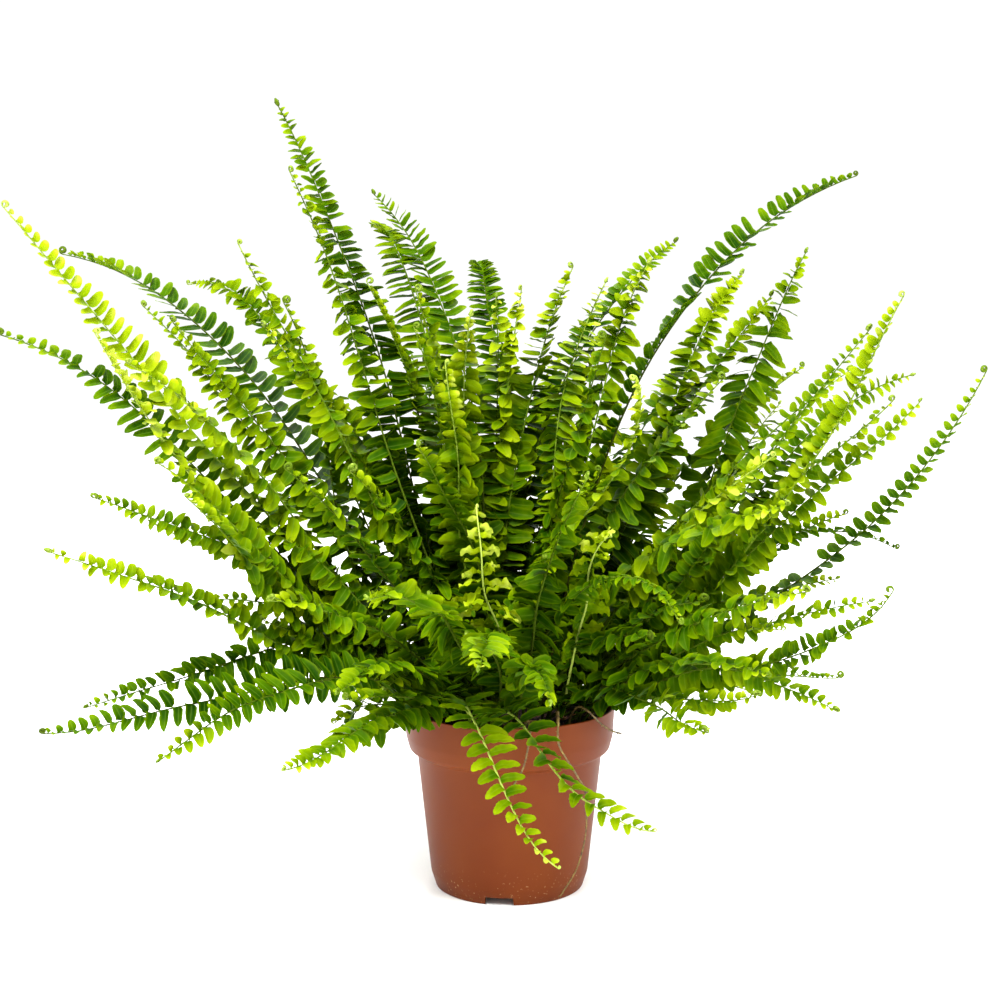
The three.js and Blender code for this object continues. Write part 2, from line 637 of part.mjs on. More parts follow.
const taken = new TakenSpace();
const roots = [];
for (const [node, points] of Object.entries(RUNNERS)) {
  const geometry = runnerGeometry(points);
  const curve = new THREE.CatmullRomCurve3(points.map((p) => new THREE.Vector3(...p)));
  taken.add(curve.getSpacedPoints(80), node);
  fern.add(named(node, geometry, runnerBrown));
  roots.push({ place: new THREE.Vector3(...points[0]), width: 2 * RUNNER_WIDTH });
}
const fronds = plantFronds();
for (const frond of fronds) {
  taken.add(pointsOn(frond.controls, 200), frond.node);
}
for (const [node, members] of Map.groupBy(fronds, (f) => f.node)) {
  const place = members[0].controls[0];
  let solid = toSolid(stemFoot(place, FOOT_OF_STEM));
  for (const member of members) solid = solid.add(toSolid(new FrondBlade(member, taken).geometry()));
  fern.add(named(node, toGeometry(solid), leafGreen));
  roots.push({ place, width: FOOT_OF_STEM });
}
fern.add(named('soil', soilGeometry(roots), soilBrown));

export default fern;
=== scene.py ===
"""The look of a potted sword fern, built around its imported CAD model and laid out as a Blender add-on.

The formulas work in millimetres, as the CAD does, and meshes are made in metres.
"""

import math

import bmesh
import bpy
import numpy as np
from bpy.props import FloatProperty, FloatVectorProperty, IntProperty, PointerProperty
from mathutils import Matrix, Vector


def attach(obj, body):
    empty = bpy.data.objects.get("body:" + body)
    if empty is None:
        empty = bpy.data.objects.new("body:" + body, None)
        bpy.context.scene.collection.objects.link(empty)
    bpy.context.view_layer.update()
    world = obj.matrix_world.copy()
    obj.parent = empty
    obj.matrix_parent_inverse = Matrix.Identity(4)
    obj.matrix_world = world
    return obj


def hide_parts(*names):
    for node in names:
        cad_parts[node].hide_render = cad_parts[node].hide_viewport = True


bl_info = {
    "name": "Potted fern",
    "version": (1, 0, 0),
    "blender": (4, 5, 0),
    "location": "3D View > Sidebar > Fern",
    "description": "Dresses the solid model of a potted fern with leaflets, peat, runners and a moulded pot",
    "category": "Add Mesh",
}

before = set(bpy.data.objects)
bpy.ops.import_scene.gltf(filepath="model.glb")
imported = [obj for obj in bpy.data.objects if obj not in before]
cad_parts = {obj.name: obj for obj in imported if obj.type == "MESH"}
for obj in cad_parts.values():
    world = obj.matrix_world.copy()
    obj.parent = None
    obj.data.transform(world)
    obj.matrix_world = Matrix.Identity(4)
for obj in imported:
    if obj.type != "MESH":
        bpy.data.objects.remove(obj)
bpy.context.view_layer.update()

MM = 0.001  # metres in a millimetre
UP = np.array([0.0, 0.0, 1.0])

# The pot and soil, as the CAD has them.
POT_HEIGHT = 105.0
RIM_RADIUS = 60.0
COLLAR_BOTTOM = 78.0
SHOULDER_RADIUS = 52.6
FOOT_TOP = 9.0
WAIST_RADIUS = 45.0
FOOT_RADIUS = 42.2
FOOT_WIDTH = 2.0
WALL = 1.2
FLOOR_UNDERSIDE = 4.8
NOTCH_AZIMUTHS = (-98, 22, 142)
NOTCH_WIDTH = 16.0
NOTCH_DEPTH = 12.0
DRAIN_HOLES = 4
DRAIN_RADIUS = 4.0
DRAIN_CIRCLE = 27.0
FIT_GAP = 0.3
SOIL_EDGE = 96.5
SOIL_CROWN = 99.0
STEM_DEPTH = 7.0

# How the CAD lays out its fronds, in millimetres, degrees and shares of a frond's length.
ROOT_RING = 42.0
LEAST_RING_SHARE = 0.15
CROWN_SLOPE = 95.0  # a frond this steep would be rooted on the axis
ROOT_TURN = 2.4  # radians from the small offset of one frond's root to the next
LAUNCH_SHARE = 0.38
LANDING_SHARE = 0.32
STEEPEST_LAUNCH = 100.0
RIM_CLEARANCE = 5.0
RIM_BAND = (8.0, 4.0)  # how far inside and outside the rim a midrib has to pass over it
CROWN_SPACING = 5.0
TIP_SPACING = 12.0
SETTLE_ROUNDS = 100
MIDRIB_SAMPLES = 32
LONGEST_PUSH = 4.0


def back_tuft(azimuth):
    """Four fronds that fan out and down at the back, from high to low."""
    return [
        [azimuth - 7, 218, 290, 18, 0, 16],
        [azimuth + 6, 226, 220, 20, 0, 16],
        [azimuth - 3, 220, 140, 25, 0, 15],
        [azimuth + 8, 200, 80, 32, 0, 14],
    ]


# The fronds of each CAD node, as [azimuth, reach, tip height, bend, roll, leaflet length, sway, hook].
# Azimuth runs from +X towards the back. Reach is the tip's distance from the pot's axis. Bend is how many
# degrees the frond rises above its chord at the root. Roll turns the blade about its midrib. Sway, if
# given, shifts the frond's lower half to the right of someone who looks out along it. Hook is how many
# degrees it falls below its chord at the tip: as many as the bend, if not given. All rows are the CAD's
# but for some longer leaflets, which are shorter there so that neighbouring solids stay clear.
FRONDS = {
    "frond_left_01": [[-173, 273, 384, -6, -40, 16, 0, 0]],
    "frond_left_02": [[165, 273, 359, 6, -10, 24, 8, 36]],
    "frond_left_03": [
        [174, 209, 330, -6, -50, 12, -8, 6], [177, 190, 322, 6, -50, 11, 8, 0],
        [180, 107, 281, 6, -30, 12],
    ],
    "frond_left_04": [[143, 254, 340, -12, -20, 14, 0, 54], [164, 148, 318, 6, -30, 12, 0, 12]],
    "frond_left_05": [[-177, 280, 315, -6, -50, 17, -16, 24], [-154, 203, 253, -24, -50, 14, 32, 6]],
    "frond_left_06": [[-172, 149, 365, 0, -50, 11], [-175, 125, 333, -42, -40, 10, 0, 6]],
    "frond_left_07": [[156, 147, 445, 0, -35, 25, -16, 12], [175, 123, 405, 0, -45, 18, -8, 6]],
    "frond_left_08": [[-152, 235, 320, -18, -30, 14, 32, -12], [-160, 212, 303, -6, -40, 14, 16, 18]],
    "frond_left_09": [
        [-172, 229, 227, 18, -60, 11], [-146, 198, 238, -18, -40, 13, 40, 6],
        [-169, 164, 226, 12, -40, 13],
    ],
    "frond_left_10": [[164, 223, 201, 30, -10, 12, 0, 6], [-166, 171, 172, 30, -70, 8, -8]],
    "frond_left_11": [[-163, 254, 204, 0, -50, 11, 0, 6], [-164, 141, 161, 12, -30, 12]],
    "frond_left_12": [[-168, 236, 114, 72, -60, 12, 48, 12], [-167, 133, 156, -6, -30, 11, 0, 12]],
    "frond_left_13": [[-159, 261, 111, 24, -50, 14, -16, 0]],
    "frond_left_14": [[-141, 225, 109, 18, -50, 15, -8, 30]],
    "frond_left_15": [[-123, 202, 112, 24, -20, 12, 0, 6], [-139, 122, 104, 24, 0, 12, -8, -6]],
    "frond_left_16": [[138, 138, 62, 34, -50, 14]],
    "frond_back_01": [[127, 136, 395, 24, -10, 19, 0, 36], [120, 173, 376, 36, 0, 17, -32, 66]],
    "frond_back_02": [[97, 192, 350, 0, 0, 14, 8, 72], [166, 83, 343, -12, -10, 11, 0, 12]],
    "frond_upright_01": [[77, 31, 340, 0, 0, 14, -24, -12], [-155, 24, 325, 18, 0, 13, 0, 36]],
    "frond_upright_02": [[67, 98, 351, 30, 0, 14, -8], [-131, 53, 301, -6, 0, 12, 8, 6]],
    "frond_upright_03": [[20, 58, 344, 0, 40, 15, 0, 18], [27, 90, 354, 0, 45, 17, 16, 18]],
    "frond_right_01": [[46, 145, 366, 30, 20, 17, -16, 42]],
    "frond_right_02": [[9, 199, 403, 24, 0, 19, 16, 42]],
    "frond_right_03": [[33, 167, 347, -18, 20, 17, 0, 18], [24, 170, 335, 6, 20, 18]],
    "frond_right_04": [[24, 193, 360, -30, 40, 18, 16, 12]],
    "frond_right_05": [[21, 171, 271, -24, 20, 17, 24, 18]],
    "frond_right_06": [[-11, 214, 337, -28, 30, 14, 0, -12], [-9, 197, 319, -12, 40, 9, 0, 0]],
    "frond_right_07": [[12, 240, 289, -12, 50, 12, 8, 30], [-41, 184, 235, 42, 30, 15, 0, 24]],
    "frond_right_08": [
        [3, 217, 277, 24, 40, 11, -8, -6], [-8, 225, 280, 0, 50, 12, 8, -6], [0, 190, 295, 12, 30, 12],
    ],
    "frond_right_09": [[5, 273, 293, -18, 20, 10, 16, -24]],
    "frond_right_10": [[21, 254, 180, 48, 20, 8], [6, 194, 211, 6, 30, 11, 0, 24]],
    "frond_right_11": [[12, 197, 170, 48, 50, 10, 0, 12]],
    "frond_right_12": [
        [-3, 203, 166, 30, 40, 10, -8, 6], [-6, 186, 124, 18, 15, 9, -8, 0], [0, 164, 210, 18, 30, 12],
    ],
    "frond_right_13": [[-19, 214, 182, 6, 40, 9, 0, -36], [-17, 135, 122, 24, 40, 11]],
    "frond_right_14": [[-25, 189, 120, 18, 50, 11, 8, 36], [-35, 158, 131, 24, 60, 8, 0, -12]],
    "frond_right_15": [[-22, 158, 159, 6, 40, 11, 0, 24]],
    "frond_right_16": [[-53, 164, 121, 66, 30, 12, -16, 0]],
    "frond_front_01": [[-81, 152, 57, 42, 0, 19, 48, -6]],
    "frond_front_02": [[-61, 150, 70, 72, 0, 22, 48, -24]],
    "frond_front_03": [[-99, 111, 233, 0, 0, 16, -8, -60]],
    "frond_front_04": [[-69, 139, 220, 0, 0, 13, -16, 36]],
    "frond_front_05": [[-106, 232, 205, 25, 20, 15]],
    "frond_front_06": [[-66, 195, 186, 72, 0, 9, 8]],
    "frond_front_07": [[-118, 102, 261, 25, 0, 14], [-125, 146, 135, 6, 0, 13]],
    "frond_front_08": [[-42, 90, 294, 36, 20, 12, 48, -66]],
    "frond_front_09": [[-94, 222, 172, 34, 0, 14]],
    "tuft_back_01": back_tuft(40),
    "tuft_back_02": back_tuft(64),
    "tuft_back_03": back_tuft(88),
    "tuft_back_04": back_tuft(114),
    "tuft_back_05": back_tuft(136),
    "tuft_inner_01": [
        [100, 45, 335, 0, 0, 17], [-150, 60, 320, 3, -30, 16], [-30, 60, 315, 3, 30, 16],
        [-145, 104, 245, 12, -20, 16], [-39, 63, 243, 12, 20, 16], [159, 57, 339, 6, -20, 16],
        [58, 96, 300, 12, 0, 19], [124, 92, 296, 12, 0, 19], [176, 112, 286, 12, -20, 19],
        [2, 120, 290, 12, 20, 19],
    ],
    "tuft_front_01": [
        [-130, 185, 190, 20, -20, 14], [-116, 190, 150, 28, 0, 14], [-140, 150, 250, 12, -20, 14],
        [-110, 117, 185, 30, 0, 14], [-143, 117, 111, 36, -20, 13], [-126, 111, 133, 30, -10, 13],
    ],
    "tuft_front_02": [
        [-38, 190, 190, 18, 20, 14], [-46, 185, 150, 25, 10, 14], [-23, 152, 253, 16, 30, 14],
        [-54, 123, 162, 30, 10, 14], [-34, 125, 177, 24, 20, 14],
    ],
    "tuft_front_03": [
        [-84, 175, 145, 40, 0, 14], [-76, 150, 250, 15, 0, 13], [-77, 82, 200, 18, 0, 13],
        [-100, 122, 166, 30, 0, 14],
    ],
}

# How old the leaves of each frond of a node are: 0 is an old dark green frond and 1 a new yellow-green
# one. The last number also holds for the rest of the node's fronds, and nodes that aren't here have the
# usual tone.
TONES = {
    "frond_left_01": [0.6],
    "frond_left_02": [0.2],
    "frond_left_03": [0.5],
    "frond_left_05": [0.4, 0.6],
    "frond_left_06": [0.6, 0.5],
    "frond_left_07": [0.36, 0.46],
    "frond_left_08": [0.66, 0.62],
    "frond_left_09": [0.46],
    "frond_left_12": [0.34],
    "frond_left_13": [0.28],
    "frond_left_14": [0.34],
    "frond_left_16": [0.2],
    "frond_back_01": [0.4, 0.46],
    "frond_back_02": [0.34, 0.5],
    "frond_upright_01": [0.6],
    "frond_upright_02": [0.58],
    "frond_upright_03": [0.64],
    "frond_right_01": [0.3],
    "frond_right_02": [0.16, 0.3],
    "frond_right_03": [0.5, 0.42],
    "frond_right_04": [0.5],
    "frond_right_05": [0.6],
    "frond_right_06": [0.64, 0.56],
    "frond_right_10": [0.3],
    "frond_front_01": [0.6],
    "frond_front_02": [0.52],
    "frond_front_03": [0.84],
    "frond_front_04": [0.7],
    "frond_front_06": [0.4],
    "frond_front_08": [0.6],
    "frond_front_09": [0.45],
    "tuft_inner_01": [0.46],
    "tuft_front_02": [0.5, 0.5, 0.7, 0.3],
}
USUAL_TONES = [0.48]
TONE_SPREAD = 0.08

# Fronds whose leaflets lie neatly, like a comb's teeth. The others are more ruffled.
NEAT = (
    "frond_left_01", "frond_left_02", "frond_left_05", "frond_left_13", "frond_left_14", "frond_back_01",
    "frond_back_02", "frond_right_01", "frond_right_02", "frond_right_09", "frond_front_01",
    "frond_front_02",
)

# Fronds whose leaflets shorten evenly from the root to the tip, and young ones with crested leaflets.
TAPERED = ("frond_front_01", "frond_front_02", "frond_front_06", "frond_left_07")
CRESTED = ("frond_front_03", "frond_front_04")

# The nearest fronds, whose leaflets are finer grids.
NEAR = ("frond_front_01", "frond_front_02", "frond_front_03", "frond_front_04")

# Upright fronds whose narrow leaflets stand close, and turn level like a louvre's slats.
LOUVRED = (
    "frond_left_07", "frond_back_01", "frond_back_02", "frond_upright_01", "frond_upright_02",
    "frond_upright_03", "frond_right_01", "frond_right_03",
)

# Wiry runners that creep from the soil over the rim, as points from the soil to their tip.
RUNNERS = {
    "runner_front": [
        [26, -40, 99], [26, -42, 106], [26, -51, 112], [26, -60, 108], [26, -62, 98], [35, -54, 80],
        [41, -49, 68], [42, -46, 58], [42, -44, 43], [37, -44, 22], [28, -46, 7],
    ],
    "runner_side": [
        [33, -30, 99], [34, -32, 106], [38, -38, 112], [43, -45, 111], [50, -40, 103], [57, -33, 97],
        [62, -27, 94],
    ],
    "runner_short": [
        [8, -42, 99], [8, -44, 103], [9, -53, 107.5], [11, -61, 107], [10, -64, 98], [7, -63, 84],
        [3, -61, 76], [-1, -59, 66],
    ],
}
RUNNER_WIDTH = 1.2

# How fine the pot and the soil are, in parts, millimetres and degrees
POT_SIDES = 144
EDGE_STEPS = 4
SHARPEST_SMOOTH = 38.0
SOIL_SIDES = 240
SOIL_RINGS = 90
LUMP_SIZES = (9, 4, 1.8)  # of its waves, from hills to grains
CRUMB_SIZES = (0.6, 1.9)
DEAD_LEAF_FLATNESS = 0.12

# The lights: names, places and sizes in metres, and shares of the key light's power
LIGHTS = (
    ("key", (-0.6, -1.0, 1.8), 0.9, 1.0),
    ("fill", (1.1, -1.0, 1.4), 0.9, 0.35),
    ("back", (0.2, 1.4, 1.5), 1.2, 0.4),
)
LIGHTS_AIM = (0.0, 0.0, 0.22)


def around_z(radius, azimuth, z):
    """A point at that radius, azimuth in degrees and height."""
    turn = math.radians(azimuth)
    return np.array([radius * math.cos(turn), radius * math.sin(turn), z])


def unit(vectors):
    """The vectors at length 1."""
    return vectors / np.linalg.norm(vectors, axis=-1, keepdims=True)


def midrib(row, index, crown):
    """The four controls of a frond's cubic midrib. It leaves its root at its chord's slope plus its bend,
    and reaches its tip at the slope less its hook. The steeper, the nearer to the middle it is rooted."""
    azimuth, reach, height, bend = row[:4]
    sway = row[6] if len(row) > 6 else 0
    hook = row[7] if len(row) > 7 else bend
    tip = around_z(reach, azimuth, height)
    slope = math.atan2(height - SOIL_CROWN, reach)
    ring = ROOT_RING * min(max(1 - slope / math.radians(CROWN_SLOPE), LEAST_RING_SHARE), 1)
    root = around_z(ring, azimuth, SOIL_CROWN) if crown is None else crown
    root = root + [math.cos(ROOT_TURN * index), math.sin(ROOT_TURN * index), 0]
    chord = tip - root
    length = np.linalg.norm(chord)
    out = unit(chord * [1, 1, 0])
    aside = np.cross(out, UP) * sway
    climb = math.atan2(chord[2], math.hypot(chord[0], chord[1]))
    launch = min(climb + math.radians(bend), math.radians(STEEPEST_LAUNCH))
    landing = climb - math.radians(hook)
    root = root + aside
    first = LAUNCH_SHARE * length * (out * math.cos(launch) + UP * math.sin(launch))
    last = LANDING_SHARE * length * (out * math.cos(landing) + UP * math.sin(landing))
    return np.array([root, root + first, tip - last + 0.6 * aside, tip])


def bernstein(u):
    """The weights of a cubic curve's four controls at shares u of its length, a row for each."""
    u = np.asarray(u, float)
    return np.stack([(1 - u) ** 3, 3 * u * (1 - u) ** 2, 3 * u * u * (1 - u), u**3], axis=-1)


def settle(controls, nodes):
    """Fronds shoulder each other apart in rounds, as in the CAD. Two midribs closer than a spacing that
    grows along them push each other by half of what is missing, and one that would run into the rim is
    lifted. Tips stay where they are, and fronds of one node keep one root."""
    weights = bernstein(np.arange(MIDRIB_SAMPLES) / MIDRIB_SAMPLES)
    frond = np.repeat(np.arange(len(controls)), MIDRIB_SAMPLES)
    step = np.tile(np.arange(MIDRIB_SAMPLES), len(controls))
    strangers = np.triu(nodes[frond][:, None] != nodes[frond][None, :])
    for _ in range(SETTLE_ROUNDS):
        points = (weights @ controls).reshape(-1, 3)
        size = (points**2).sum(1)
        near = size[:, None] + size[None, :] - 2 * points @ points.T < TIP_SPACING**2
        a, b = np.nonzero(near & strangers)
        apart = points[b] - points[a]
        distance = np.linalg.norm(apart, axis=1)
        wanted = CROWN_SPACING + (TIP_SPACING - CROWN_SPACING) * np.minimum(step[a], step[b]) / MIDRIB_SAMPLES
        missing = np.maximum(wanted - distance, 0)
        apart *= (missing / (2 * np.maximum(distance, 0.1)))[:, None]
        pushes = np.zeros((len(controls), 3, 3))
        radius = np.hypot(points[:, 0], points[:, 1])
        sunk = POT_HEIGHT + RIM_CLEARANCE - points[:, 2]
        at_rim = (radius >= RIM_RADIUS - RIM_BAND[0]) & (radius <= RIM_RADIUS + RIM_BAND[1]) & (sunk >= 0)
        for k in range(3):
            np.add.at(pushes, (frond[a], k), -apart * weights[step[a], k, None])
            np.add.at(pushes, (frond[b], k), apart * weights[step[b], k, None])
            if k:
                np.add.at(pushes[:, k, 2], frond[at_rim], sunk[at_rim] * weights[step[at_rim], k])
        length = np.linalg.norm(pushes, axis=2, keepdims=True)
        controls[:, :3] += pushes * np.minimum(1, LONGEST_PUSH / np.maximum(length, 1e-9))
        shrink = np.minimum(1, (ROOT_RING + 2) / np.hypot(controls[:, 0, 0], controls[:, 0, 1]))
        controls[:, 0, :2] *= shrink[:, None]
        controls[:, 0, 2] = SOIL_CROWN
        for node in range(nodes.max() + 1):
            controls[nodes == node, 0] = controls[nodes == node, 0].mean(0)
    return controls


def plant_fronds():
    """The settled controls of each frond, by node, in the CAD's order."""
    controls, nodes = [], []
    for number, rows in enumerate(FRONDS.values()):
        crown = None
        for row in rows:
            controls.append(midrib(row, len(controls), crown))
            crown = controls[-1][0] if crown is None else crown
            nodes.append(number)
    settled = settle(np.array(controls), np.array(nodes))
    names = list(FRONDS)
    planted = {name: [] for name in names}
    for number, control in zip(nodes, settled):
        planted[names[number]].append(control)
    return planted


def frame_at(controls, roll, u, stray):
    """Place, tangent, side and face at shares u of a frond. The face is square to the tangent and looks
    up and in. The roll comes in over the first six tenths of the length. Stray gives the size, rate and
    phase of three sines of u: how far the frond strays to its side and its face, and how far it turns."""
    place = bernstein(u) @ controls
    ahead, behind = (bernstein(np.clip(u + step, 0, 1)) @ controls for step in (0.01, -0.01))
    tangent = unit(ahead - behind)
    level = unit((controls[3] - controls[0]) * [1, 1, 0])
    face = unit(np.cross(np.cross(level, UP), tangent))
    size, rate, phase = (stray[:, k, None] for k in range(3))
    aside, proud, spin = size * np.sin(rate * u + phase)
    turn = (math.radians(roll) * np.clip(u / 0.6, 0, 1) + spin * np.clip(u / 0.3, 0, 1))[:, None]
    face = face * np.cos(turn) + np.cross(tangent, face) * np.sin(turn)
    side = np.cross(tangent, face)
    place = place + 4 * (u * (1 - u))[:, None] * (side * aside[:, None] + face * proud[:, None])
    return place, tangent, side, face


class Patches:
    """Closed surfaces gathered into one mesh, each with UVs, a tone for each point and a material."""

    def __init__(self):
        self.points, self.faces, self.uvs, self.tones, self.edged, self.slots = [], [], [], [], [], []
        self.count = 0

    def add(self, points, faces, slot=0, uv=None, tone=0.5, edged=None):
        """Adds points of shape (n, 3) in millimetres and faces as arrays of 3 or 4 columns. Points that
        are edged, in pairs that an edge joins, get a sharp edge."""
        size = len(points)
        self.points.append(points)
        self.uvs.append(np.zeros((size, 2)) if uv is None else uv)
        self.tones.append(np.broadcast_to(tone, size))
        self.edged.append(np.zeros(size, bool) if edged is None else edged)
        for array in faces:
            self.faces.append(array + self.count)
            self.slots.append(np.full(len(array), slot))
        self.count += size

    def add_copies(self, points, faces, **rest):
        """Adds surfaces that share one set of faces, from points of shape (copies, n, 3)."""
        offset = (points.shape[1] * np.arange(len(points)))[:, None, None]
        shifted = [(array[None] + offset).reshape(-1, array.shape[1]) for array in faces]
        self.add(points.reshape(-1, 3), shifted, **rest)

    def piece(self, name, materials):
        """Makes the mesh in metres, and an object that stands at the origin."""
        points = np.concatenate(self.points) * MM
        sizes = np.concatenate([np.full(len(f), f.shape[1]) for f in self.faces])
        corners = np.concatenate([f.ravel() for f in self.faces])
        mesh = bpy.data.meshes.new(name)
        mesh.vertices.add(len(points))
        mesh.vertices.foreach_set("co", points.astype(np.float32).ravel())
        mesh.loops.add(len(corners))
        mesh.loops.foreach_set("vertex_index", corners.astype(np.int32))
        mesh.polygons.add(len(sizes))
        mesh.polygons.foreach_set("loop_start", (np.cumsum(sizes) - sizes).astype(np.int32))
        mesh.polygons.foreach_set("material_index", np.concatenate(self.slots).astype(np.int32))
        mesh.update(calc_edges=True)
        mesh.shade_smooth()
        uv = np.concatenate(self.uvs)[corners]
        mesh.uv_layers.new(name="leaf").uv.foreach_set("vector", uv.astype(np.float32).ravel())
        tone = mesh.attributes.new("tone", "FLOAT", "POINT")
        tone.data.foreach_set("value", np.concatenate(self.tones).astype(np.float32))
        ends = np.zeros(2 * len(mesh.edges), np.int32)
        mesh.edges.foreach_get("vertices", ends)
        sharp = mesh.attributes.new("sharp_edge", "BOOLEAN", "EDGE")
        sharp.data.foreach_set("value", np.concatenate(self.edged)[ends].reshape(-1, 2).all(1))
        for material in materials:
            mesh.materials.append(material)
        made = bpy.data.objects.new(name, mesh)
        bpy.context.scene.collection.objects.link(made)
        return made


def grid_faces(index):
    """The quads between the rows and columns of an array of point numbers."""
    return np.stack([index[:-1, :-1], index[1:, :-1], index[1:, 1:], index[:-1, 1:]], axis=-1).reshape(-1, 4)


def ring_faces(rings, sides):
    """The faces between rings of that many points, each closed round, and fans from a pole at each end.
    The poles are numbered after the rings."""
    index = np.arange(rings * sides).reshape(rings, sides)
    quads = grid_faces(np.hstack([index, index[:, :1]]))[:, ::-1]
    after = np.roll(index, -1, axis=1)
    caps = np.vstack([
        np.stack([np.full(sides, index.size), after[0], index[0]], axis=1),
        np.stack([np.full(sides, index.size + 1), index[-1], after[-1]], axis=1),
    ])
    return [quads, caps]


def tube(path, radii, across, sides):
    """Points and faces of a tube: each ring is a circle of that radius about the path, in the plane of
    across and its cross product with the path's direction. A pole closes each end."""
    along = unit(np.gradient(path, axis=0))
    across = unit(across - along * (across * along).sum(1, keepdims=True))
    turn = 2 * math.pi * np.arange(sides) / sides
    ring = across[:, None] * np.cos(turn)[:, None] + np.cross(along, across)[:, None] * np.sin(turn)[:, None]
    points = (path[:, None] + ring * np.asarray(radii)[:, None, None]).reshape(-1, 3)
    return np.vstack([points, path[:1], path[-1:]]), ring_faces(len(path), sides)


# Leaflets, in millimetres and shares of the frond's length
TIP_SHARE = 0.985  # where a frond's last leaflets stand
BLADE_START = 0.09  # and where its first ones do
UV_LENGTH = 25.0  # millimetres of leaflet to one unit of V
NEAT_PITCH = (6.9, 8.0)  # between neighbours on one side
RUFFLED_PITCH = (5.3, 6.5)
LOUVRED_PITCH = 0.76  # of what they would be otherwise
LOUVRED_WIDTH = 1.02
BLADE_WIDTH = (6.2, 7.2)
STUB_LENGTH = 1.5  # what even the last leaflets have
USUAL_FALL = 2.4
TAPERED_FALL = 1.1
LOST_SHARE = 0.025  # of the leaflets are missing
LIFTS = (0, 25, 50)  # degrees more that a leaflet may lift to clear the pot
PLAIN_ROWS = np.array([0, 0.07, 0.24, 0.5, 0.76, 0.93, 1.0])
FINE_ROWS = np.array(
    [0, 0.03, 0.07, 0.12, 0.2, 0.28, 0.36, 0.45, 0.54, 0.63, 0.72, 0.8, 0.87, 0.93, 0.975, 1.0]
)
STRAY_SIZES = np.array([2.4, 2.4, 0.5])  # how far a frond strays to its side and face, and turns
PAINTED_SHADE_CENTRE = np.array([0.0, -10.0, 150.0])  # centre of the painted shade that darkens the plant's middle
PAINTED_SHADE_RADIUS = 80.0
POT_MARGIN = 2.0  # what leaflets keep from the rim
STALK_TAPER = 0.55  # by which its radius has shrunk at the tip
STALK_FOOT = 5.0  # how deep a stalk goes on under the soil's crown
CURL_TURNS = (0.8, 1.5)
CURL_SIZES = (1.5, 2.6)  # radius of the rolled tip
FINE_CURL = 0.45  # of that size on the nearest fronds
STALK_SIDES = 6


def leaflet_share(q, fall):
    """How long leaflets are along the blade, as in the CAD: q is 0 at the first and 1 at the last. The
    lower the fall, the sooner they shorten."""
    return (0.62 + 0.38 * np.minimum(1, q / 0.25)) * (1 - np.clip(q, 0, 1) ** fall) ** 0.7


def half_width(v, w, point):
    """Half of a leaflet's width at share v of its length, on side w (above 0 towards the frond's tip), as
    a share of its greatest. It is nearly stalkless, widest at a third, and closes as the root of
    1 - v^point. The side towards the tip has an ear at the base, and the other starts narrow."""
    shoulder = np.clip(0.2 + v / 0.07, 0, 1)
    ear = 1 + 0.3 * np.exp(-(((v - 0.08) / 0.08) ** 2))
    slim = 0.5 + 0.5 * np.clip(v / 0.26, 0, 1)
    belly = 0.86 + 0.14 * np.sin(math.pi * np.clip(0.15 + v, 0, 1))
    return shoulder * belly * np.where(w > 0, ear, slim) * (1 - np.minimum(v, 0.997) ** point) ** 0.5


def pillow(rows, columns):
    """Faces of a thin closed leaf. Its upper side is a grid of rows * columns points. Its lower side has
    two strips from the outline to a spine, whose inner points follow the grid's in number. A fan closes
    each half of both ends."""
    upper = np.arange(rows * columns).reshape(rows, columns)
    middle = columns // 2
    spine = np.concatenate([upper[:1, middle], rows * columns + np.arange(rows - 2), upper[-1:, middle]])
    lower = np.stack([upper[:, 0], spine, upper[:, -1]], axis=1)
    fans = []
    for k in range(1, middle):
        for row, way in ((upper[0], 1), (upper[-1], -1)):
            fans.append([row[0], row[k], row[k + 1]][::way])
            fans.append([row[-1], row[middle + k - 1], row[middle + k]][::way])
    return [np.vstack([grid_faces(upper), grid_faces(lower)[:, ::-1]]), np.array(fans)]


def near_pot(points):
    """True where a point is in the pot's wall or closer to it than a leaf should be."""
    radius = np.hypot(points[..., 0], points[..., 1])
    height = points[..., 2]
    over_soil = (radius < RIM_RADIUS - 2 * POT_MARGIN) & (height > SOIL_CROWN + POT_MARGIN / 2)
    return (radius < RIM_RADIUS + POT_MARGIN) & (height < POT_HEIGHT + POT_MARGIN) & ~over_soil


def leaflet_places(length, pitch):
    """Shares of the frond's length where leaflets stand, and their side: the two sides alternate, and the
    spacing narrows towards the tip."""
    pairs = max(5, round(length * (TIP_SHARE - BLADE_START) / pitch))
    steps = np.arange(2 * pairs + 1) / (2 * pairs)
    u = BLADE_START + (TIP_SHARE - BLADE_START) * steps**0.9
    return u, np.where(np.arange(len(u)) % 2, -1.0, 1.0)


def wander(rng, q, size):
    """Random numbers that change slowly along the frond, as a sum of three sines, plus as much jitter."""
    rates = [math.pi * rng.uniform(1, 5) for _ in range(3)]
    slow = sum(np.sin(rate * q + rng.uniform(0, 6)) for rate in rates) / 3
    return size * (0.7 * slow + 0.85 * rng.uniform(-1, 1, len(q)))


def leaflet_tones(place, q, share, tone, rng):
    """How new the points of leaflets are, at those shares of their leaflet's length, with painted light and
    shade added.
    Leaflets near the frond's tip are newer and those near its root older. Leaflets in the plant's middle are
    darkened with painted shade, and each leaflet gets painted shade at its base and painted light towards its
    own tip."""
    depth = np.linalg.norm(place - PAINTED_SHADE_CENTRE, axis=1)
    age_light_and_shade = tone + 0.3 * np.clip((q - 0.6) / 0.4, 0, 1) ** 1.6 - 0.2 * np.clip(1 - q / 0.5, 0, 1)
    # The last term is painted shade: leaflets near the plant's middle are darkened, where the fronds shade
    # each other.
    age_light_and_shade = age_light_and_shade + wander(rng, q, 0.14) - 0.2 * np.exp(-((depth / PAINTED_SHADE_RADIUS) ** 2))
    # The last term darkens each leaflet at its base and lightens it towards its tip: painted shade where
    # leaflets overlap by the midrib, and painted light on the tips.
    return age_light_and_shade[:, None] + 0.3 * (share - 0.45)


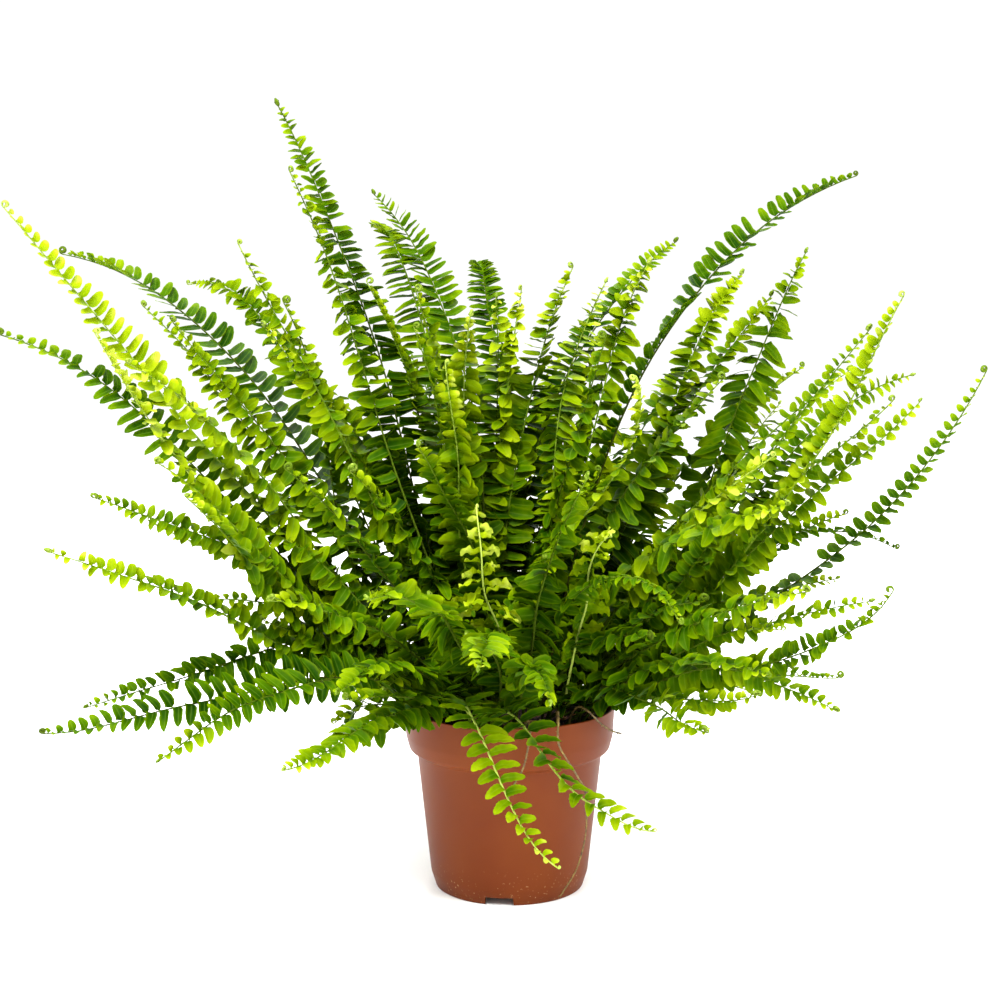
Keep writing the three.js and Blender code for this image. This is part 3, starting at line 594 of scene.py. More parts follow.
def leaflets(patches, controls, row, stray, tone, habit, thickness, rng):
    """Adds a frond's leaflets. Each is a grid of v along its length and w across it, set out from the
    midrib along an axis that leans to the tip and lifts from the blade. Its surface is the axis times v,
    plus its half width times w, plus a sideways curve and a droop that grow as v squared, with the edges
    raised by a power of w. Part of its turn towards the sky comes in as a twist about its axis. Habit
    gives how ruffled the frond is, how soon its leaflets shorten, and whether they are fine grids, crested
    or louvred. A leaflet that would touch the pot lifts more, or else is left out."""
    ruffle, fall, fine, crested, louvred = habit
    roll, leaflet_length = row[4:6]
    length = np.linalg.norm(np.diff(bernstein(np.linspace(0, 1, 40)) @ controls, axis=0), axis=1).sum()
    pitch = rng.uniform(*(NEAT_PITCH if ruffle < 1 or crested else RUFFLED_PITCH))
    u, side_sign = leaflet_places(length, LOUVRED_PITCH * pitch if louvred else pitch)
    q = np.clip((u - BLADE_START) / (1 - BLADE_START), 0, 1)
    s = side_sign[:, None]
    place, tangent, side, face = frame_at(controls, roll, u, stray)
    # How they grow: angles in degrees, lengths in millimetres, and bends as shares of a leaflet's length.
    sweep = np.radians(4 + 26 * q**2 + wander(rng, q, 14 * ruffle))[:, None]
    share = leaflet_share(q, fall)
    size = leaflet_length * (1.04 - 0.04 * ruffle) * share * (1 + wander(rng, q, 0.12 * ruffle))
    size = size + STUB_LENGTH
    width = (rng.uniform(*BLADE_WIDTH) + 0.9 * ruffle) * (0.35 + 0.65 * share**0.7)
    width = width * (1 + wander(rng, q, 0.15))
    width = np.minimum(width, 0.62 * size + 1) * (LOUVRED_WIDTH if louvred else 1)
    droop = rng.uniform(0, 0.1 + 0.2 * ruffle) + wander(rng, q, 0.16 * ruffle)
    curve = rng.uniform(0.02, 0.13) + wander(rng, q, 0.07)
    cup = rng.uniform(0.1, 0.6) + wander(rng, q, 0.25)
    sky_share = rng.uniform(0.1, 0.5) + (0.22 if louvred else 0.05)
    point = rng.uniform(4.0, 8.0)
    rise = rng.uniform(2, 20) + 34 * q**5 + wander(rng, q, 18 * ruffle)
    twist = np.radians(wander(rng, q, 30 * ruffle))[:, None]
    hang = 0.7 * max(ruffle - 0.8, 0) * np.clip(rng.uniform(0, 0.6) + wander(rng, q, 0.4), 0, 1)[:, None]
    # Their surfaces, as arrays over the leaflets, v and w.
    rows = FINE_ROWS if fine else PLAIN_ROWS
    columns = np.linspace(-1, 1, 7 if fine else 5)
    v = rows[None, :, None]
    w = s[:, :, None] * columns[None, None, :]
    width, size, droop, curve, cup = (values[:, None, None] for values in (width, size, droop, curve, cup))
    half = 0.5 * width * half_width(v, w, point)
    along = v * size
    ripple = np.sin(1.1 * along + 40 * q[:, None, None])
    teeth = (0.07 if fine else 0.0) * np.sin(3.4 * along)
    if crested:
        teeth = 0.5 * v * np.sin(1.7 * along + 30 * q[:, None, None])
        half = half * (0.55 + 0.9 * v**2)
        ripple = 4 * ripple
    sideways = w * half * (1 + teeth * np.abs(w)) + curve * size * v**2
    raised = (cup * half + 0.3 * ripple) * np.abs(w) ** 1.15 - droop * size * v**2
    thick = thickness * np.minimum(1, 6 * (1 - rows[1:-1]))
    # Where they stand. The first lift that clears the pot is kept.
    chosen = None
    for extra in LIFTS:
        lift = np.radians(rise + extra)[:, None]
        axis = side * s * np.cos(sweep) + tangent * np.sin(sweep)
        axis = unit(axis * np.cos(lift) + face * np.sin(lift) - UP * hang)
        across = unit(tangent - axis * (tangent * axis).sum(1, keepdims=True))
        normal = np.cross(axis, across) * s
        turn = sky_share * np.arctan2(across @ UP, normal @ UP)[:, None]
        turn = np.clip(turn, -1, 1) + twist
        cosine, sine = np.cos(turn), np.sin(turn)
        across, normal = across * cosine - normal * sine, normal * cosine + across * sine
        base = place + side * s * 0.4 + face * 0.3
        upper = (
            base[:, None, None]
            + axis[:, None, None] * along[..., None]
            + across[:, None, None] * sideways[..., None]
            + normal[:, None, None] * raised[..., None]
        )
        spine = upper[:, 1:-1, len(columns) // 2] - normal[:, None] * thick[:, None]
        clear = ~near_pot(upper).any(axis=(1, 2))
        if chosen is None:
            chosen = [upper, spine, clear]
        else:
            swap = ~chosen[2] & clear
            chosen[0][swap], chosen[1][swap] = upper[swap], spine[swap]
            chosen[2] = chosen[2] | clear
    upper, spine, kept = chosen
    kept = kept & (rng.uniform(size=len(q)) > LOST_SHARE)
    count, height, breadth = upper.shape[:3]
    points = np.concatenate([upper.reshape(count, -1, 3), spine], axis=1)
    uv = np.stack(np.broadcast_arrays(0.5 + 0.5 * w, along / UV_LENGTH), axis=-1)
    uv = np.concatenate([uv.reshape(count, -1, 2), uv[:, 1:-1, breadth // 2]], axis=1)
    age_light_and_shade = leaflet_tones(place, q, uv[..., 1] * UV_LENGTH / size[:, 0], tone, rng)
    outline = np.ones((height, breadth), bool)
    outline[1:-1, 1:-1] = False
    edged = np.concatenate([outline.ravel(), np.zeros(height - 2, bool)])
    patches.add_copies(
        points[kept],
        pillow(height, breadth),
        uv=uv[kept].reshape(-1, 2),
        tone=age_light_and_shade[kept].reshape(-1),
        edged=np.tile(edged, kept.sum()),
    )


def rachis(patches, controls, row, stray, tone, fine, radius, rng):
    """Adds a frond's midrib: a tube along its curve, from under the soil to its tip, whose radius falls
    with the distance. Its end rolls up in a flat spiral about a point on the face side."""
    u = np.linspace(0, 1, 40)
    place, tangent, side, face = frame_at(controls, row[4], u, stray)
    turns = rng.uniform(*CURL_TURNS)
    coil = np.linspace(0, 1, 14)[1:, None]
    angle = 2 * math.pi * turns * coil
    ball = rng.uniform(*CURL_SIZES) * (FINE_CURL if fine else 1)
    reach = ball * (1 - 0.8 * coil)
    centre = place[-1] + face[-1] * ball
    spiral = centre + (tangent[-1] * np.sin(angle) - face[-1] * np.cos(angle)) * reach
    foot = place[:1] - UP * STALK_FOOT
    path = np.vstack([foot, place, spiral])
    across = np.vstack([side[:1], side, np.repeat(side[-1:], len(coil), axis=0)])
    radii = np.concatenate([[radius], radius - STALK_TAPER * u**0.8, (0.2 + 0.4 * coil[:, 0]) * ball])
    points, faces = tube(path, radii, across, STALK_SIDES)
    share = np.concatenate([[0], u, np.ones(len(coil))])
    share = np.concatenate([np.repeat(share, STALK_SIDES), [0, 1]])
    stalk_tone = tone + 0.3 * share + 0.08 * share**12 - 0.1 + (0.3 if fine else 0)
    patches.add(points, faces, slot=1, tone=stalk_tone)


# Patterns of the materials, in cells to a metre
LEAF_BLOTCHES = 160.0  # 6 mm each
STALK_FLECKS = 700.0  # 1.4 mm
PLASTIC_CLOUDS = 22.0  # 45 mm
PLASTIC_SPLASHES = 620.0  # 1.6 mm
PLASTIC_GRAIN = 1500.0  # 0.7 mm, coarser than a mould's real grain, so that it shows
PEAT_CRUMBS = 620.0  # 1.6 mm
PEAT_GRAIN = 900.0  # 1.1 mm
RUNNER_FLECKS = 420.0  # 2.4 mm
VEIN_SPACING = 1.3  # millimetres between a leaflet's side veins
SPLASH_FULL = 0.006  # metres up to which the pot's splashes are full
SPLASH_END = 0.022  # and where they end


def hex_colour(text):
    """The linear colour of an sRGB hex value."""
    shares = np.array([int(text[i : i + 2], 16) for i in (1, 3, 5)]) / 255
    linear = np.where(shares <= 0.04045, shares / 12.92, ((shares + 0.055) / 1.055) ** 2.4)
    return (*linear, 1.0)


def new_material(name):
    """An empty node material, its tree and its output."""
    material = bpy.data.materials.new(name)
    material.use_nodes = True
    material.node_tree.nodes.clear()
    return material, material.node_tree, material.node_tree.nodes.new("ShaderNodeOutputMaterial")


def add_node(tree, kind, inputs, settings=None, stops=None):
    """Adds a node. Inputs go to its sockets by name or number: a socket is linked, so is the first output
    of a node, and anything else is a value. Settings go on the node, and stops are a colour ramp's places
    and colours. A colour is an sRGB hex text, or linear numbers."""
    made = tree.nodes.new(kind)
    for name, value in (settings or {}).items():
        setattr(made, name, value)
    for key, value in inputs.items():
        source = value.outputs[0] if isinstance(value, bpy.types.Node) else value
        if isinstance(source, bpy.types.NodeSocket):
            tree.links.new(source, made.inputs[key])
        else:
            made.inputs[key].default_value = hex_colour(value) if isinstance(value, str) else value
    if stops:
        ramp = made.color_ramp.elements
        while len(ramp) < len(stops):
            ramp.new(1.0)
        for element, (place, colour) in zip(ramp, stops):
            element.position = place
            element.color = hex_colour(colour) if isinstance(colour, str) else colour
    return made


def leaf_material(settings):
    """Living fern leaflet: a thin waxy blade with a soft shine. It lets light through in a yellower green,
    and has a pale sunken midvein with side veins about 1.3 mm apart, and a painted highlight along its
    margin."""
    material, tree, output = new_material("fern_leaflet")
    tone = add_node(tree, "ShaderNodeAttribute", {}, {"attribute_name": "tone"}).outputs["Fac"]
    place = add_node(tree, "ShaderNodeTexCoord", {}).outputs["Object"]
    blotch = add_node(tree, "ShaderNodeTexNoise", {"Vector": place, "Scale": LEAF_BLOTCHES, "Detail": 3.0})
    varied = add_node(tree, "ShaderNodeMapRange", {"Value": blotch, 1: 0.3, 2: 0.7, 3: -0.09, 4: 0.09})
    # The tone attribute holds the leaflets' age together with painted shade in the plant's middle, and
    # painted light and shade along each leaflet.
    age = add_node(tree, "ShaderNodeMath", {0: tone, 1: varied}, {"operation": "ADD"})
    uv = add_node(tree, "ShaderNodeUVMap", {}, {"uv_map": "leaf"})
    across, along, _ = add_node(tree, "ShaderNodeSeparateXYZ", {0: uv}).outputs
    off_centre = add_node(tree, "ShaderNodeMath", {0: across, 1: 0.5}, {"operation": "SUBTRACT"})
    off_centre = add_node(tree, "ShaderNodeMath", {0: off_centre}, {"operation": "ABSOLUTE"})
    midvein = add_node(tree, "ShaderNodeMapRange", {"Value": off_centre, 1: 0.02, 2: 0.06, 3: 1.0, 4: 0.0})
    margin = add_node(tree, "ShaderNodeMapRange", {"Value": off_centre, 1: 0.3, 2: 0.5, 3: 0.0, 4: 1.0})
    slanted = add_node(
        tree, "ShaderNodeMath", {0: off_centre, 1: -0.2, 2: along}, {"operation": "MULTIPLY_ADD"}
    )
    vein_turns = 2 * math.pi * UV_LENGTH / VEIN_SPACING
    turns = add_node(tree, "ShaderNodeMath", {0: slanted, 1: vein_turns}, {"operation": "MULTIPLY"})
    veins = add_node(tree, "ShaderNodeMath", {0: turns}, {"operation": "SINE"})
    veins = add_node(tree, "ShaderNodeMapRange", {"Value": veins, 1: 0.2, 2: 1.0, 3: 0.0, 4: 1.0})
    green = add_node(
        tree,
        "ShaderNodeValToRGB",
        {"Fac": age},
        stops=[
            (0.0, settings.leaf_oldest),
            (0.22, settings.leaf_old),
            (0.46, settings.leaf_grown),
            (0.7, settings.leaf_fresh),
            (0.9, settings.leaf_new),
            (1.0, settings.leaf_newest),
        ],
    )
    faint_vein = add_node(tree, "ShaderNodeMath", {0: midvein, 1: 0.14}, {"operation": "MULTIPLY"})
    colour = add_node(
        tree, "ShaderNodeMix", {0: faint_vein, 6: green, 7: settings.leaf_vein}, {"data_type": "RGBA"}
    ).outputs[2]
    # Painted highlight: the margin is lightened towards a pale yellow-green, as if its curled edge caught the
    # light.
    margin_highlight_share = add_node(tree, "ShaderNodeMath", {0: margin, 1: 0.28}, {"operation": "MULTIPLY"})
    colour = add_node(
        tree, "ShaderNodeMix", {0: margin_highlight_share, 6: colour, 7: settings.leaf_margin_highlight}, {"data_type": "RGBA"}
    ).outputs[2]
    relief = add_node(
        tree, "ShaderNodeMath", {0: midvein, 1: -3.0, 2: veins}, {"operation": "MULTIPLY_ADD"}
    )
    bump = add_node(tree, "ShaderNodeBump", {"Height": relief, "Distance": 0.00003, "Strength": 0.6})
    blade = add_node(
        tree,
        "ShaderNodeBsdfPrincipled",
        {"Base Color": colour, "Roughness": 0.42, "Specular IOR Level": 0.015, "Normal": bump},
    )
    through = add_node(
        tree, "ShaderNodeMix", {0: 0.3, 6: colour, 7: settings.leaf_glow}, {"data_type": "RGBA"}
    ).outputs[2]
    glow = add_node(tree, "ShaderNodeBsdfTranslucent", {"Color": through})
    both = add_node(tree, "ShaderNodeMixShader", {0: 0.36, 1: blade, 2: glow})
    tree.links.new(both.outputs[0], output.inputs["Surface"])
    return material


def rachis_material(settings):
    """Fern stalk: a smooth wiry stem, brown-green where it is old and pale green where it is new."""
    material, tree, output = new_material("fern_stalk")
    tone = add_node(tree, "ShaderNodeAttribute", {}, {"attribute_name": "tone"}).outputs["Fac"]
    place = add_node(tree, "ShaderNodeTexCoord", {}).outputs["Object"]
    fleck = add_node(tree, "ShaderNodeTexNoise", {"Vector": place, "Scale": STALK_FLECKS, "Detail": 2.0})
    varied = add_node(tree, "ShaderNodeMapRange", {"Value": fleck, 1: 0.3, 2: 0.7, 3: -0.12, 4: 0.12})
    age = add_node(tree, "ShaderNodeMath", {0: tone, 1: varied}, {"operation": "ADD"})
    colour = add_node(
        tree,
        "ShaderNodeValToRGB",
        {"Fac": age},
        stops=[(0.0, settings.stalk_old), (0.42, "#35430a"), (0.72, "#526a12"), (1.0, settings.stalk_new)],
    )
    bump = add_node(tree, "ShaderNodeBump", {"Height": fleck, "Distance": 0.0002, "Strength": 0.5})
    stalk = add_node(
        tree,
        "ShaderNodeBsdfPrincipled",
        {"Base Color": colour, "Roughness": 0.5, "Specular IOR Level": 0.02, "Normal": bump},
    )
    tree.links.new(stalk.outputs[0], output.inputs["Surface"])
    return material


def pot_material(settings):
    """Moulded polypropylene, coloured through as terracotta: a soft sheen, a colour that clouds a little,
    fine moulding grain, and dried splashes low down."""
    material, tree, output = new_material("terracotta_polypropylene")
    place = add_node(tree, "ShaderNodeTexCoord", {}).outputs["Object"]
    cloud = add_node(tree, "ShaderNodeTexNoise", {"Vector": place, "Scale": PLASTIC_CLOUDS, "Detail": 3.0})
    stops = [(0.3, settings.plastic_dark), (0.7, settings.plastic_light)]
    body = add_node(tree, "ShaderNodeValToRGB", {"Fac": cloud}, stops=stops)
    height = add_node(tree, "ShaderNodeSeparateXYZ", {0: place}).outputs[2]
    low = add_node(
        tree, "ShaderNodeMapRange", {"Value": height, 1: SPLASH_FULL, 2: SPLASH_END, 3: 1.0, 4: 0.0}
    )
    spots = add_node(tree, "ShaderNodeTexNoise", {"Vector": place, "Scale": PLASTIC_SPLASHES, "Detail": 3.0})
    spots = add_node(tree, "ShaderNodeMapRange", {"Value": spots, 1: 0.64, 2: 0.74, 3: 0.0, 4: 0.5})
    splashes = add_node(tree, "ShaderNodeMath", {0: spots, 1: low}, {"operation": "MULTIPLY"})
    colour = add_node(
        tree, "ShaderNodeMix", {0: splashes, 6: body, 7: settings.splash}, {"data_type": "RGBA"}
    ).outputs[2]
    grain = add_node(tree, "ShaderNodeTexNoise", {"Vector": place, "Scale": PLASTIC_GRAIN, "Detail": 2.0})
    bump = add_node(tree, "ShaderNodeBump", {"Height": grain, "Distance": 0.0001, "Strength": 0.25})
    sheen = add_node(tree, "ShaderNodeMapRange", {"Value": cloud, 1: 0.3, 2: 0.7, 3: 0.4, 4: 0.52})
    plastic = add_node(
        tree,
        "ShaderNodeBsdfPrincipled",
        {"Base Color": colour, "Roughness": sheen, "Specular IOR Level": 0.1, "Normal": bump},
    )
    tree.links.new(plastic.outputs[0], output.inputs["Surface"])
    return material


def peat_material(settings):
    """Moist peat: nearly black crumbs with brown fibres and a few redder bits of bark."""
    material, tree, output = new_material("moist_peat")
    place = add_node(tree, "ShaderNodeTexCoord", {}).outputs["Object"]
    crumb = add_node(tree, "ShaderNodeTexVoronoi", {"Vector": place, "Scale": PEAT_CRUMBS})
    shade = add_node(tree, "ShaderNodeSeparateColor", {0: crumb.outputs["Color"]})
    stops = [(0.0, settings.peat), (0.6, "#2a1810"), (0.85, "#46291a"), (0.97, settings.bark)]
    colour = add_node(tree, "ShaderNodeValToRGB", {"Fac": shade}, stops=stops)
    rough = add_node(tree, "ShaderNodeTexNoise", {"Vector": place, "Scale": PEAT_GRAIN, "Detail": 4.0})
    bump = add_node(tree, "ShaderNodeBump", {"Height": rough, "Distance": 0.0008, "Strength": 0.8})
    peat = add_node(
        tree, "ShaderNodeBsdfPrincipled", {"Base Color": colour, "Roughness": 0.85, "Normal": bump}
    )
    tree.links.new(peat.outputs[0], output.inputs["Surface"])
    return material


def litter_material(settings):
    """Dead fern leaflets and stalks: dry and matt, some still straw yellow and others dark brown."""
    material, tree, output = new_material("dead_fern")
    tone = add_node(tree, "ShaderNodeAttribute", {}, {"attribute_name": "tone"}).outputs["Fac"]
    stops = [(0.1, "#2c1a0e"), (0.45, "#6e4422"), (0.75, "#98703c"), (1.0, settings.straw)]
    colour = add_node(tree, "ShaderNodeValToRGB", {"Fac": tone}, stops=stops)
    dry = add_node(tree, "ShaderNodeBsdfPrincipled", {"Base Color": colour, "Roughness": 0.8})
    tree.links.new(dry.outputs[0], output.inputs["Surface"])
    return material


def runner_material(settings):
    """Fern runner: a thin woody stem, yellow-brown with darker flecks."""
    material, tree, output = new_material("woody_runner")
    place = add_node(tree, "ShaderNodeTexCoord", {}).outputs["Object"]
    fleck = add_node(tree, "ShaderNodeTexNoise", {"Vector": place, "Scale": RUNNER_FLECKS, "Detail": 3.0})
    stops = [(0.3, settings.runner_dark), (0.55, "#6a561e"), (0.75, settings.runner_light)]
    colour = add_node(tree, "ShaderNodeValToRGB", {"Fac": fleck}, stops=stops)
    bump = add_node(tree, "ShaderNodeBump", {"Height": fleck, "Distance": 0.0003, "Strength": 0.6})
    wood = add_node(
        tree, "ShaderNodeBsdfPrincipled", {"Base Color": colour, "Roughness": 0.6, "Normal": bump}
    )
    tree.links.new(wood.outputs[0], output.inputs["Surface"])
    return material


def floor_material(settings):
    """Matt white studio paper."""
    material, tree, output = new_material("white_paper")
    paper = add_node(
        tree,
        "ShaderNodeBsdfPrincipled",
        {"Base Color": settings.paper, "Roughness": 0.9, "Specular IOR Level": 0.0},
    )
    tree.links.new(paper.outputs[0], output.inputs["Surface"])
    return material


def filleted(profile, radius, steps):
    """A closed profile's points with each inner corner replaced by an arc-like curve: between the places
    that lie the radius away on its two edges, points follow the quadratic curve that the corner pulls."""
    points = [np.array(profile[0], float)]
    for before, corner, after in zip(profile, profile[1:], profile[2:]):
        before, corner, after = (np.array(p, float) for p in (before, corner, after))
        back, on = before - corner, after - corner
        reach = min(radius, 0.45 * np.linalg.norm(back), 0.45 * np.linalg.norm(on))
        start, end = corner + unit(back) * reach, corner + unit(on) * reach
        for t in np.linspace(0, 1, steps):
            points.append((1 - t) ** 2 * start + 2 * t * (1 - t) * corner + t * t * end)
    points.append(np.array(profile[-1], float))
    return np.array(points)


def turned(profile, sides):
    """A round body about Z from [radius, height] pairs that start and end on the axis: points at
    radius * cos and sin of the azimuth, with a pole at each end."""
    turn = 2 * math.pi * np.arange(sides) / sides
    rings = profile[1:-1]
    points = np.stack(
        [
            rings[:, :1] * np.cos(turn),
            rings[:, :1] * np.sin(turn),
            np.broadcast_to(rings[:, 1:], (len(rings), sides)),
        ],
        axis=-1,
    ).reshape(-1, 3)
    ends = np.array([[0, 0, profile[0, 1]], [0, 0, profile[-1, 1]]])
    return np.vstack([points, ends]), ring_faces(len(rings), sides)


def waves(points, size, count, seed):
    """Smooth random numbers from -1 to 1 over space: a mean of sines of that wavelength, in random
    directions and phases."""
    rng = np.random.default_rng(seed)
    directions = unit(rng.normal(size=(count, 3))) * 2 * math.pi / (size * rng.uniform(0.7, 1.4, (count, 1)))
    return np.sin(points @ directions.T + rng.uniform(0, 2 * math.pi, count)).sum(1) / math.sqrt(count) / 1.5


def cut(piece, cutters):
    """Takes the cutters out of the piece, and removes them."""
    for cutter in cutters:
        modifier = piece.modifiers.new("cut", "BOOLEAN")
        modifier.operation, modifier.solver, modifier.object = "DIFFERENCE", "EXACT", cutter
    graph = bpy.context.evaluated_depsgraph_get()
    mesh = bpy.data.meshes.new_from_object(piece.evaluated_get(graph))
    piece.modifiers.clear()
    piece.data = mesh
    for cutter in cutters:
        bpy.data.objects.remove(cutter)


def catmull_rom(points, count):
    """The centripetal curve through the points, as the CAD's: each stretch blends the parabolas through
    its neighbours, with knots spaced by the root of their distance."""
    points = np.asarray(points, float)
    ends = np.vstack([2 * points[0] - points[1], points, 2 * points[-1] - points[-2]])
    found = []
    for i in range(len(points) - 1):
        p = ends[i : i + 4]
        knots = np.concatenate([[0], np.cumsum(np.linalg.norm(np.diff(p, axis=0), axis=1) ** 0.5)])
        t = np.linspace(knots[1], knots[2], count, endpoint=False)[:, None]
        level = [(knots[j + 1] - t) * p[j] + (t - knots[j]) * p[j + 1] for j in range(3)]
        level = [level[j] / (knots[j + 1] - knots[j]) for j in range(3)]
        pair = [
            ((knots[j + 2] - t) * level[j] + (t - knots[j]) * level[j + 1]) / (knots[j + 2] - knots[j])
            for j in range(2)
        ]
        found.append(((knots[2] - t) * pair[0] + (t - knots[1]) * pair[1]) / (knots[2] - knots[1]))
    return np.vstack([*found, points[-1:]])


def colour_setting(name, description, text):
    """A colour that a user can change. Its default is an sRGB hex value, held as linear numbers."""
    return FloatVectorProperty(
        name=name,
        description=description,
        default=hex_colour(text),
        subtype="COLOR",
        size=4,
        min=0.0,
        max=1.0,
    )


def length_setting(name, description, default, lowest, highest):
    """A length in metres that a user can change."""
    return FloatProperty(
        name=name,
        description=description,
        default=default,
        min=lowest,
        max=highest,
        subtype="DISTANCE",
        unit="LENGTH",
    )


def in_mm(length):
    """A setting's length in millimetres. Blender keeps it in single precision, so it is rounded."""
    return round(length / MM, 3)


class FrondSettings(bpy.types.PropertyGroup):
    """The fronds' sizes and colours."""

    seed: IntProperty(name="Seed", description="Seed of the fronds' random numbers", default=4, min=0)
    leaflet_thickness: length_setting("Leaflet thickness", "Along a leaflet's middle", 0.0004, 0.0001, 0.001)
    stalk_width: length_setting("Stalk width", "Where a stalk leaves the soil", 0.0018, 0.0014, 0.004)
    leaf_tone: FloatProperty(
        name="Leaf tone",
        description="Shift of all leaves from old dark green to new yellow-green",
        default=0.0,
        min=-0.5,
        max=0.5,
    )
    leaf_oldest: colour_setting("Oldest leaf", "Dark green of the oldest fronds", "#0b2a00")
    leaf_old: colour_setting("Old leaf", "Green of old fronds", "#1f4200")
    leaf_grown: colour_setting("Grown leaf", "Green of grown fronds", "#426600")
    leaf_fresh: colour_setting("Fresh leaf", "Green of fresh fronds", "#738c00")
    leaf_new: colour_setting("New leaf", "Yellow-green of new fronds", "#9aac0c")
    leaf_newest: colour_setting("Newest leaf", "Pale green of unfolding tips", "#b4c240")
    leaf_vein: colour_setting("Midvein", "What a leaflet's midvein is tinged with", "#8fae3a")
    # Colour of the painted highlight along a leaflet's margin, where its curled edge would catch the light.
    leaf_margin_highlight: colour_setting("Leaflet edge", "What a leaflet's margin is tinged with", "#90ac08")
    leaf_glow: colour_setting("Light through leaves", "What light through a leaf is tinged with", "#98bc00")
    stalk_old: colour_setting("Old stalk", "Brown of old stalks", "#1c1606")
    stalk_new: colour_setting("New stalk", "Pale green of new stalks and rolled tips", "#9aac48")


class PotSettings(bpy.types.PropertyGroup):
    """The pot's edges and colours."""

    edge_radius: length_setting("Edge radius", "From a corner to its rounding's start", 0.0012, 0.0002, 0.003)
    plastic_dark: colour_setting("Darker plastic", "Plastic in the darker clouds", "#60280a")
    plastic_light: colour_setting("Lighter plastic", "Plastic in the lighter clouds", "#68300e")
    splash: colour_setting("Splashes", "Dried splashes low on the pot", "#c8a070")


class SoilSettings(bpy.types.PropertyGroup):
    """What lies and creeps on the soil."""

    crumbs: IntProperty(name="Crumbs", description="Number of loose crumbs", default=420, min=0)
    litter: IntProperty(name="Litter", description="Number of dead leaves and stalks", default=60, min=1)
    hair_length: length_setting("Hair length", "Of the runners' longest hairs", 0.002, 0.0005, 0.004)
    peat: colour_setting("Peat", "The darkest crumbs", "#140c08")
    bark: colour_setting("Bark", "The reddest crumbs", "#6d4430")
    straw: colour_setting("Straw", "The palest dead leaflets", "#b09a58")
    runner_dark: colour_setting("Runner flecks", "The darkest flecks of the runners", "#3c2810")
    runner_light: colour_setting("Runners", "The palest part of the runners", "#8c7a32")


class StageSettings(bpy.types.PropertyGroup):
    """The camera, the floor and the light."""

    camera_place: FloatVectorProperty(
        name="Camera place",
        description="Where the camera stands",
        default=(-0.0054, -1.06, 0.357),
        subtype="TRANSLATION",
        unit="LENGTH",
    )
    camera_pitch: FloatProperty(
        name="Camera pitch",
        description="How far the camera looks down",
        default=math.radians(7.27),
        subtype="ANGLE",
        unit="ROTATION",
    )
    camera_lens: FloatProperty(
        name="Focal length",
        description="For a sensor 36 mm wide",
        default=68.4,
        unit="CAMERA",
    )
    paper: colour_setting("Floor", "Colour of the floor's paper", "#ffffff")
    key_power: FloatProperty(
        name="Key light",
        description="Power of the large light in front",
        default=95.0,
        unit="POWER",
    )
    sky_strength: FloatProperty(name="Sky", description="Strength of the white surroundings", default=1.05)


def rooted(piece, slot, *nodes):
    """Hides the CAD parts of the nodes that a piece stands for, and sets what it rides on. The slot is not
    used.
    """
    if nodes:
        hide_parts(*nodes)
    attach(piece, "root")
    return piece


class FERN_OT_fronds(bpy.types.Operator):
    """Builds every frond with its leaflets, one piece for each CAD node"""

    bl_idname = "fern.fronds"
    bl_label = "Fronds"

    def execute(self, context):
        settings = context.scene.fern_fronds
        materials = [leaf_material(settings), rachis_material(settings)]
        thickness, radius = in_mm(settings.leaflet_thickness), in_mm(settings.stalk_width) / 2
        for number, (name, members) in enumerate(plant_fronds().items()):
            rng = np.random.default_rng([settings.seed, number])
            patches = Patches()
            tones = TONES.get(name, USUAL_TONES)
            for k, (row, controls) in enumerate(zip(FRONDS[name], members)):
                tone = tones[min(k, len(tones) - 1)] + settings.leaf_tone
                tone = tone + rng.uniform(-TONE_SPREAD, TONE_SPREAD)
                sizes = rng.uniform(0.4, 1, 3) * STRAY_SIZES
                stray = np.stack([sizes, rng.uniform(5, 12, 3), rng.uniform(0, 6, 3)], axis=1)
                ruffle = rng.uniform(0.5, 0.8) if name in NEAT else rng.uniform(1.0, 2.0)
                fall = TAPERED_FALL if name in TAPERED else USUAL_FALL
                habit = (ruffle, fall, name in NEAR, name in CRESTED, name in LOUVRED)
                leaflets(patches, controls, row, stray, tone, habit, thickness, rng)
                rachis(patches, controls, row, stray, tone, name in NEAR, radius, rng)
            rooted(patches.piece(name + "_leafy", materials), "leaf", name)
        return {"FINISHED"}


